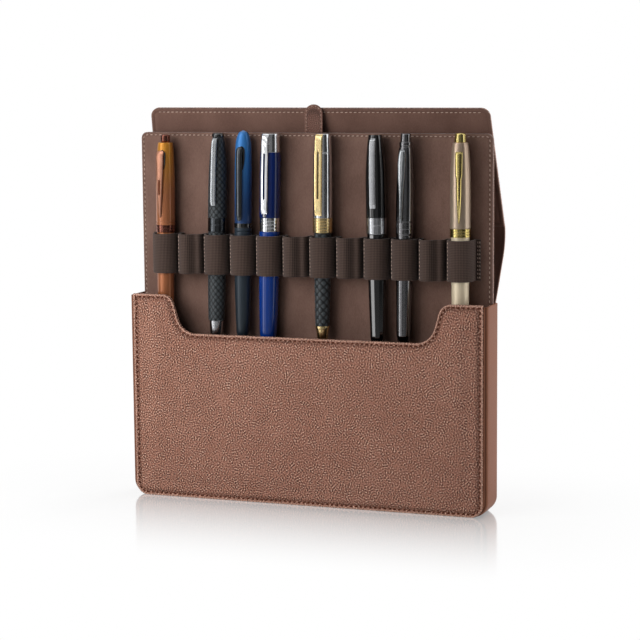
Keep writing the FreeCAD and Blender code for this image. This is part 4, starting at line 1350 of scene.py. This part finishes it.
# %% Copper pen
pen = Pen("copper_pen", 1)
pen.turned("finial", [(242.3, 2.6), (241.6, 3.1), (238.2, 3.25), (237.2, 2.9), (236.4, 3.0)],
           dark_copper, "copper_metal")
pen.turned("cap_shell", [(237.2, 4.4), (236.9, 4.95), *taper(236.6, 208, 5.0, 6.4, power=0.62)[1:],
                         (184.8, 6.4), (184.7, 6.15), (184.1, 6.15), (184.0, 6.4), (182.5, 6.4),
                         (182.4, 6.0), (177.8, 6.0)], amber_fade, "amber_lacquer")
pen.turned("cap_band", grooved(182.4, 177.7, 6.45, 1, 0.25), dark_copper, "copper_metal")
pen.turned("barrel_turned", [*spigot(177.6), (177.6, 5.6), *taper(177.0, 112, 5.85, 5.3), (106.0, 4.2)],
           copper_satin, "copper_metal")
pen.clip("clip_blade", 8,
         [(232.0, 2.3), (230, 2.75), (224, 2.7), (210, 2.1), (200, 1.6), (190, 0.85), (187.4, 0.4)],
         [(232.0, 6.0), (231, 7.0), (228, 7.6), (205, 7.9), (188.5, 7.3), (187.4, 6.9)],
         rose_copper, "copper_metal", window=(213.0, 202.5, 0.6), oval=True, crown=0.3)
# A painted shadow of the clip on the cap, to its right.
pen.clip_shadow_plate(-1, [(232.2, 1.0), (230, 2.4), (224, 2.4), (220, 1.7), (218.5, 0.8)],
                [(232.2, 5.75), (224, 6.35), (218.5, 6.5)], "copper_metal")

# %% Carved black pen
pen = Pen("carved_pen", 3)
pen.turned("cap_shell", [*taper(243.0, 226, 3.0, 5.6, power=0.55),
                         *taper(225.5, 206, 5.65, 6.3, power=0.8)[1:],
                         (187.7, 6.3), (187.6, 5.7), (179, 5.7)], carved_black, "carved_black", **SCALED)
pen.turned("cap_crown", [(243.7, 1.4), *curve(243.6, 241.2, 2.9, 4.3), (240.9, 4.1)],
           black_gloss, "black_lacquer")
pen.turned("cap_band", [(187.7, 6.3), (187.0, 6.4), *grooved(186.6, 180.0, 6.35, 1, 0.2), (179.0, 6.4),
                        (178.8, 6.2)], black_metal, "black_metal")
pen.turned("barrel_turned", [*spigot(178.8), (178.8, 5.5), *taper(178.4, 119.6, 6.1, 5.3, power=3.0),
                             (119.3, 4.6)], carved_black, "carved_black", **SCALED)
pen.turned("tip_cone", [(119.5, 4.5), (119.3, 4.75), (110, 4.0), (105.2, 3.4), (104.8, 2.8)],
           silver, "bright_chrome")
pen.clip("clip_blade", 3, [(240.4, 1.5), (238, 1.95), (200, 2.0), (197.2, 1.9), (196.2, 1.6)],
         [(240.4, 4.4), (239.4, 5.9), (236, 6.6), (220, 7.4), (199, 7.75), (196.2, 7.2)],
         smoke_metal, "black_metal", crown=0.2)

# %% Blue pen
pen = Pen("blue_pen", 4)
pen.turned("cap_shell", [*curve(245.4, 230.5, 0.3, 5.35, power=2.4), *curve(229, 208, 5.4, 5.7, count=6),
                         (186.2, 5.7), (186.1, 5.4), (185.2, 5.4), (185.1, 5.65), (184.6, 5.65)],
           blue_fade, "blue_lacquer", **SMOOTH)
pen.turned("cap_ring", [(184.7, 5.7), (184.4, 5.85), (181.9, 5.85), (181.6, 5.7)],
           black_gloss, "black_lacquer")
pen.turned("cap_lip", [(181.7, 5.6), (181.4, 5.75), (179.6, 5.7), (179.4, 5.5)],
           night_satin, "blue_lacquer")
pen.turned("barrel_turned", [*spigot(179.3), (179.3, 5.3), *taper(178.8, 112, 5.8, 4.2, power=2.6),
                             (105.6, 2.8)], night_satin, "blue_lacquer", **SMOOTH)
pen.clip("clip_blade", 3,
         [(234.8, 1.6), (232.5, 2.2), (225, 2.2), (190, 1.9), (187.2, 1.5), (186.4, 1.2)],
         [(234.8, 5.3), (233.6, 6.4), (230, 7.1), (210, 7.3), (189, 7.1), (186.4, 6.5)],
         black_metal, "black_metal", oval=True, crown=0.55)
# A painted shadow of the clip on the cap, to its right.
pen.clip_shadow_plate(-7, [(235.2, 1.4), (232.6, 2.3), (226, 2.3), (221, 1.6), (219, 0.8)],
                [(235.2, 5.2), (230, 5.62), (219, 5.8)], "black_metal")

# %% Royal pen
pen = Pen("royal_pen", 5)
pen.turned("cap_top", [(243.5, 5.7), (243.2, 6.05), (232.0, 6.45), (231.4, 6.4), (231.3, 6.0)],
           chrome, "bright_chrome")
pen.turned("cap_shell", [(231.6, 6.2), *curve(231.4, 214, 6.5, 6.85, count=6), (188.7, 6.85), (188.6, 6.3),
                         (180, 6.3)], navy_gloss, "royal_lacquer", **SMOOTH)
pen.turned("cap_band", grooved(188.6, 179.6, 6.7, 3, 0.3, 0.45), chrome, "bright_chrome")
pen.turned("barrel_turned", [*spigot(179.6), (179.6, 6.2), *taper(179.0, 111, 6.75, 5.75, power=2.4),
                             (105.5, 4.2)], royal_gloss, "royal_lacquer", **SMOOTH)
pen.clip("clip_blade", 9, [(243.3, 2.3), (240, 2.5), (205, 2.55), (192.4, 2.3), (191.2, 2.1)],
         [(243.3, 6.0), (242.2, 7.4), (238, 8.0), (215, 8.4), (194, 8.2), (191.2, 7.5)],
         chrome, "bright_chrome", window=(231, 200.5, 0.66), crown=0.25)
pen.turned("clip_bead", [(191.3, 0.5), (190.8, 1.0), (190.2, 1.1), (189.6, 1.0), (189.1, 0.5)],
           chrome, "bright_chrome", around=16, aside=(9, 7.3))

# %% Gold and chrome pen
pen = Pen("gold_pen", 7)
pen.turned("cap_shell", [(243.5, 4.9), (243.2, 5.35), (231.6, 6.2), (231.4, 5.95), (231.0, 5.95),
                         (230.8, 6.25), (208, 6.4), (189.2, 6.4), (189.1, 5.6), (180, 5.6)],
           chrome, "bright_chrome", **SMOOTH)
pen.turned("cap_band", grooved(189.0, 179.6, 6.5, 4, 0.3, 0.45), gold, "polished_gold")
pen.turned("barrel_turned", [*spigot(179.6), (179.6, 5.4), *taper(179.0, 118.4, 5.7, 4.7), (118.2, 4.2)],
           carved_black, "carved_black", **HAMMERED)
pen.turned("tip_cone", [(118.4, 4.4), (118.2, 4.7), (116.8, 4.7), (116.6, 4.3), (110, 3.4), (105.4, 1.7),
                        (104.6, 1.0)], gold, "polished_gold")
pen.clip("clip_blade", 5, [(243.4, 2.4), (240, 2.6), (200, 2.6), (192, 2.45), (190.8, 2.3)],
         [(243.4, 5.2), (242.4, 6.4), (238, 7.2), (215, 7.8), (193, 7.7), (190.8, 7.1)],
         gold, "polished_gold", window=(232.5, 201.5, 0.62), crown=0.15)

# %% Black pen
pen = Pen("black_pen", 9)
pen.turned("cap_shell", [*taper(243.0, 224, 4.2, 6.3, power=0.6), *curve(223.5, 206, 6.32, 6.7, count=6),
                         (189.9, 6.7), (189.8, 6.2), (179.6, 6.2)], black_gloss, "black_lacquer", **SMOOTH)
pen.turned("cap_band", [(189.9, 6.65), (189.5, 6.75), *grooved(188.8, 181.2, 6.7, 1, 0.15, 0.3),
                        (179.8, 6.75), (179.5, 6.6)], silver, "bright_chrome")
pen.turned("barrel_turned", [*spigot(179.4), (179.4, 6.0), *taper(179.0, 112, 6.2, 4.9), (105.6, 3.6)],
           black_gloss, "black_lacquer", **FACETED)
pen.clip("clip_blade", 0, [(240.8, 1.6), (238, 1.95), (220, 2.05), (198, 2.0), (196.2, 1.9)],
         [(240.8, 4.8), (239.6, 6.2), (232, 7.3), (216, 8.0), (199, 7.9), (196.2, 7.3)],
         silver, "gun_metal", crown=0.12)

# %% Grey pen
pen = Pen("grey_pen", 10)
pen.turned("plunger", [(243.9, 2.9), (243.4, 3.3), (239.0, 3.6), (238.4, 3.4), (236, 3.2)],
           gun_metal, "gun_metal")
pen.turned("cap_shell", [(238.6, 3.9), (238.3, 4.15), (236.4, 4.25), (236.1, 4.05), (235.2, 4.05),
                         *taper(235.0, 208, 4.3, 5.8, power=0.6), (187.9, 5.85), (187.8, 5.5), (187.3, 5.5),
                         (187.2, 5.8), *grooved(185.6, 180.4, 5.8, 1, 0.2), (179.0, 5.6)],
           gun_metal, "gun_metal", **SMOOTH)
pen.turned("barrel_turned", [*spigot(179.0), (179.0, 5.3), *taper(178.6, 114, 5.45, 4.6), (106.5, 2.4),
                             (104.6, 1.0)], gun_metal, "gun_metal", **SMOOTH)
pen.clip("clip_blade", 6.5,
         [(234.2, 1.6), (231, 2.4), (225, 2.6), (216, 2.35), (206, 1.5), (190, 0.95), (187.4, 0.4)],
         [(234.2, 4.6), (232.8, 6.0), (226, 7.0), (212, 7.4), (190, 7.2), (187.4, 6.6)],
         smoke_metal, "gun_metal", oval=True, crown=0.5)

# %% Champagne pen
pen = Pen("champagne_pen", 12)
pen.turned("finial", [*curve(244.4, 242.8, 2.2, 3.5, count=6), (239.0, 3.9), (238.6, 3.8), (238.2, 3.5)],
           olive_gold, "polished_gold")
pen.turned("cap_shell", [(238.6, 4.3), (238.4, 4.9), *taper(238.2, 218, 5.0, 6.5, power=0.6)[1:],
                         (208, 6.65), (184.4, 6.65), (184.2, 6.3), (179, 6.3)],
           champagne, "champagne_satin", **SMOOTH)
pen.turned("cap_band", grooved(184.0, 178.7, 6.75, 2, 0.3, 0.4), olive_gold, "polished_gold")
pen.turned("barrel_turned", [*spigot(178.7), (178.7, 5.6), *taper(178.2, 112, 5.8, 5.2), (106.0, 4.0)],
           champagne_low, "champagne_satin", **SMOOTH)
pen.clip("clip_blade", -8,
         [(232.8, 2.3), (231, 2.4), (217.5, 2.2), (216.5, 1.75), (205, 1.6), (192, 0.9), (187.8, 0.4)],
         [(232.8, 5.8), (231.6, 7.1), (226, 7.9), (212, 8.1), (190, 7.7), (187.8, 7.2)],
         olive_gold, "polished_gold", crown=0.9)
print("eight pens stand in their loops")

# %% [markdown]
# ## Cards and magnets
# The stiffeners and magnets are hidden in the sewn case, and the frame already has their
# true shape. They only need a finish.

# %% Hidden pieces
steel = metal("magnet_steel", "C9CACC", "A3A5A8", 0.25)
cards = ["front_card", "back_card", "base_card", "insert_card", "flap_card"]
magnets = ["front_magnets", "flap_magnets"]
for node in cards + magnets:
    piece = frame["nodes"][node]
    piece.data.materials.clear()
    piece.data.materials.append(grey_card if node in cards else steel)
print("hidden pieces:", ", ".join(cards + magnets))

# %% [markdown]
# ## Studio
# The case stands on a white gloss sheet that fades into a white wall. Leather and metal
# want different light: leather a soft lamp at a low angle, so that every pebble shows,
# metal a few bright cards with dark gaps between them. So each lamp here does one job.
# Four of them light the case and don't show in gloss, and five cards show in gloss and
# light nothing. A round pen shows a card as an upright line, so a card's place is given as
# an angle round the case. Places and sizes in the studio are in metres.

# %% Floor
# Metres from the edge of the case's foot where the mirror starts to fade and where it ends
MIRROR_START, MIRROR_REACH = -0.1, 0.16
# The fade alone would leave about 0.68 of the mirror at that edge, and 0.72 is wanted
MIRROR_STRENGTH = 0.72 / 0.68
HALF_FOOT = (0.124, 0.0144, 0)
WHITE = (1, 1, 1, 1)


def floor_finish():
    """White gloss sheet: it mirrors the case and takes its shadow, and fades to plain white.

    That plain white is for the eye. A mirror sees it only behind the case, so that metal
    keeps a dark gap between its two lights.
    """
    finish = Finish("studio_floor")
    eye = finish.node("ShaderNodeLightPath", {}, {}, "Is Camera Ray")
    mirror = finish.node("ShaderNodeLightPath", {}, {}, "Is Glossy Ray")
    point = finish.point()

    def vector_maths(operation, inputs, output=0):
        """One Vector Math node."""
        return finish.node("ShaderNodeVectorMath", {"operation": operation}, inputs, output)

    spread = vector_maths("ABSOLUTE", {0: point})
    beyond = vector_maths("SUBTRACT", {0: spread, 1: HALF_FOOT})
    beyond = vector_maths("MAXIMUM", {0: beyond, 1: (0, 0, 0)})
    reach = vector_maths("LENGTH", {0: beyond}, "Value")
    haze = finish.cloud(30.0, 2.0)
    base = finish.mix(haze, "F8F8F8", "FDFDFD")
    gloss = {"Base Color": base, "Roughness": haze * 0.03 + 0.1, "Metallic": 0.72}
    sheet = finish.node("ShaderNodeBsdfPrincipled", {}, gloss)
    plain = finish.node("ShaderNodeEmission", {}, {"Color": WHITE, "Strength": 1.0})
    share = 1 - (1 - reach.between(MIRROR_START, MIRROR_REACH)) * MIRROR_STRENGTH
    behind = finish.node("ShaderNodeSeparateXYZ", {}, {0: point}, "Y").between(-0.2, 0.0)
    plain_share = (eye + mirror * behind) * share
    surface = finish.node("ShaderNodeMixShader", {}, {0: plain_share, 1: sheet, 2: plain})
    finish.node("ShaderNodeOutputMaterial", {}, {"Surface": surface})
    return finish.material


REACH = 6.0
floor_mesh = bpy.data.meshes.new("studio_floor")
floor_corners = [(-REACH, -REACH, 0), (REACH, -REACH, 0), (REACH, REACH, 0), (-REACH, REACH, 0)]
floor_mesh.from_pydata(floor_corners, [], [(0, 1, 2, 3)])
floor = bpy.data.objects.new("studio_floor", floor_mesh)
floor_mesh.materials.append(floor_finish())
bpy.context.scene.collection.objects.link(floor)
print("mirror fades out", MIRROR_REACH, "m from the case")

# %% World
# The room is dim, the wall is white: the eye sees the wall everywhere, a mirror sees it
# only towards the back, where the gloss sheet looks.
AMBIENT, BACKDROP = 0.04, 1.0
world = bpy.data.worlds.new("studio")
bpy.context.scene.world = world
world.use_nodes = True
studio = Nodes(world.node_tree)
heading = studio.node("ShaderNodeTexCoord", {}, {}, "Generated")
backward = studio.node("ShaderNodeSeparateXYZ", {}, {0: heading}, "Y").between(0.2, 0.5, "LINEAR")
eye, glass, mirror = [studio.node("ShaderNodeLightPath", {}, {}, "Is %s Ray" % kind)
                      for kind in ("Camera", "Transmission", "Glossy")]
dim, bright = [studio.node("ShaderNodeBackground", {}, {"Color": WHITE, "Strength": strength})
               for strength in (AMBIENT, BACKDROP)]
seen = eye.largest(glass).largest(mirror * backward)
either = studio.node("ShaderNodeMixShader", {}, {0: seen, 1: dim, 2: bright})
studio.node("ShaderNodeOutputWorld", {}, {"Surface": either})
print("world nodes:", len(world.node_tree.nodes))

# %% [markdown]
# ## Lamps and cards
# The key lamp stands close to the left end of the case, so that its light falls off to the
# right, shows every pebble and leaves the right side of each pen and loop dark. A lamp on
# the right lights the gusset, a wide one in front fills, and one behind lights the back.
# Of the cards, the main one is wide and soft, the bright strip beside it is the thin line
# on each pen, the right one draws a second line, and the top one lights up the upper ends
# of caps and clips.

# %% Lamps and cards
def softbox(name, place, aim, width, height, power, mirrored=False):
    """A rectangular lamp that faces a point: it either lights the case or shows in its gloss."""
    lamp = bpy.data.lights.new(name, "AREA")
    lamp.shape, lamp.size, lamp.size_y, lamp.energy = "RECTANGLE", width, height, power
    holder = bpy.data.objects.new(name, lamp)
    bpy.context.scene.collection.objects.link(holder)
    holder.location = place
    holder.rotation_euler = (Vector(aim) - Vector(place)).to_track_quat("-Z", "Y").to_euler()
    holder.visible_camera = False
    holder.visible_glossy, holder.visible_diffuse = mirrored, not mirrored
    return holder


def card_power(width, height, brightness):
    """The power at which a lamp of that size shows with a given brightness in a mirror."""
    return math.pi * width * height * brightness


softbox("key", (-0.27, -0.335, 0.32), (0, 0, 0.13), 0.4, 0.4, 2.15)
softbox("edge", (0.90, 0.12, 0.25), (0, 0, 0.10), 0.40, 0.60, 3.6)
softbox("front", (-0.20, -1.28, 0.50), (0, 0, 0.13), 0.9, 0.6, 2.9)
softbox("back", (0.45, 1.0, 0.7), (0, 0, 0.13), 0.7, 0.7, 12.0)
PEN_MIDDLE = (0, 0, 0.14)
CARD_TALL, CARD_HEIGHT = 2.0, 0.55


def card(name, azimuth, wide, brightness, distance=1.1):
    """A card round the case that shows only in gloss. Its place and its width are in degrees."""
    turn, width = math.radians(azimuth), 2 * distance * math.tan(math.radians(wide / 2))
    place = (distance * math.sin(turn), -distance * math.cos(turn), CARD_HEIGHT)
    power = card_power(width, CARD_TALL, brightness)
    return softbox(name, place, PEN_MIDDLE, width, CARD_TALL, power, mirrored=True)


card("main_card", -38, 58, 0.8)
card("bright_strip", -47, 8, 3.0, distance=1.05)
card("middle_card", 18, 44, 0.12)
card("right_card", 86, 22, 1.35)
softbox("top_card", (-0.25, -0.25, 1.2), PEN_MIDDLE, 1.7, 1.5, card_power(1.7, 1.5, 0.6), mirrored=True)
print("lamps and cards:", len(bpy.data.lights))

# %% [markdown]
# ## Camera
# It stands to the right of the case, a little above its middle, with a long lens. Its
# place and its three turns were worked out from the box's edges, so they are given as
# angles, and the roll is applied last.

# %% Camera
VIEW_YAW, VIEW_PITCH, VIEW_ROLL = math.radians(19.95), math.radians(7.55), math.radians(-0.49)
CAMERA_PLACE = Vector((0.4500, -1.2211, 0.2939))
SENSOR_MM, LENS_MM = 36.0, 112.5
forward = Vector((-math.sin(VIEW_YAW) * math.cos(VIEW_PITCH),
                  math.cos(VIEW_YAW) * math.cos(VIEW_PITCH),
                  -math.sin(VIEW_PITCH)))
level = Vector((math.cos(VIEW_YAW), math.sin(VIEW_YAW), 0))
upright = level.cross(forward)
across = level * math.cos(VIEW_ROLL) + upright * math.sin(VIEW_ROLL)
above = upright * math.cos(VIEW_ROLL) - level * math.sin(VIEW_ROLL)
lens = bpy.data.cameras.new("camera")
lens.sensor_width, lens.lens = SENSOR_MM, LENS_MM
camera = bpy.data.objects.new("camera", lens)
turned = Matrix((across, above, -forward)).transposed().to_4x4()
camera.matrix_world = Matrix.Translation(CAMERA_PLACE) @ turned
bpy.context.scene.collection.objects.link(camera)
bpy.context.scene.camera = camera
bpy.context.scene.view_settings.view_transform = "Standard"
print("camera at", CAMERA_PLACE)
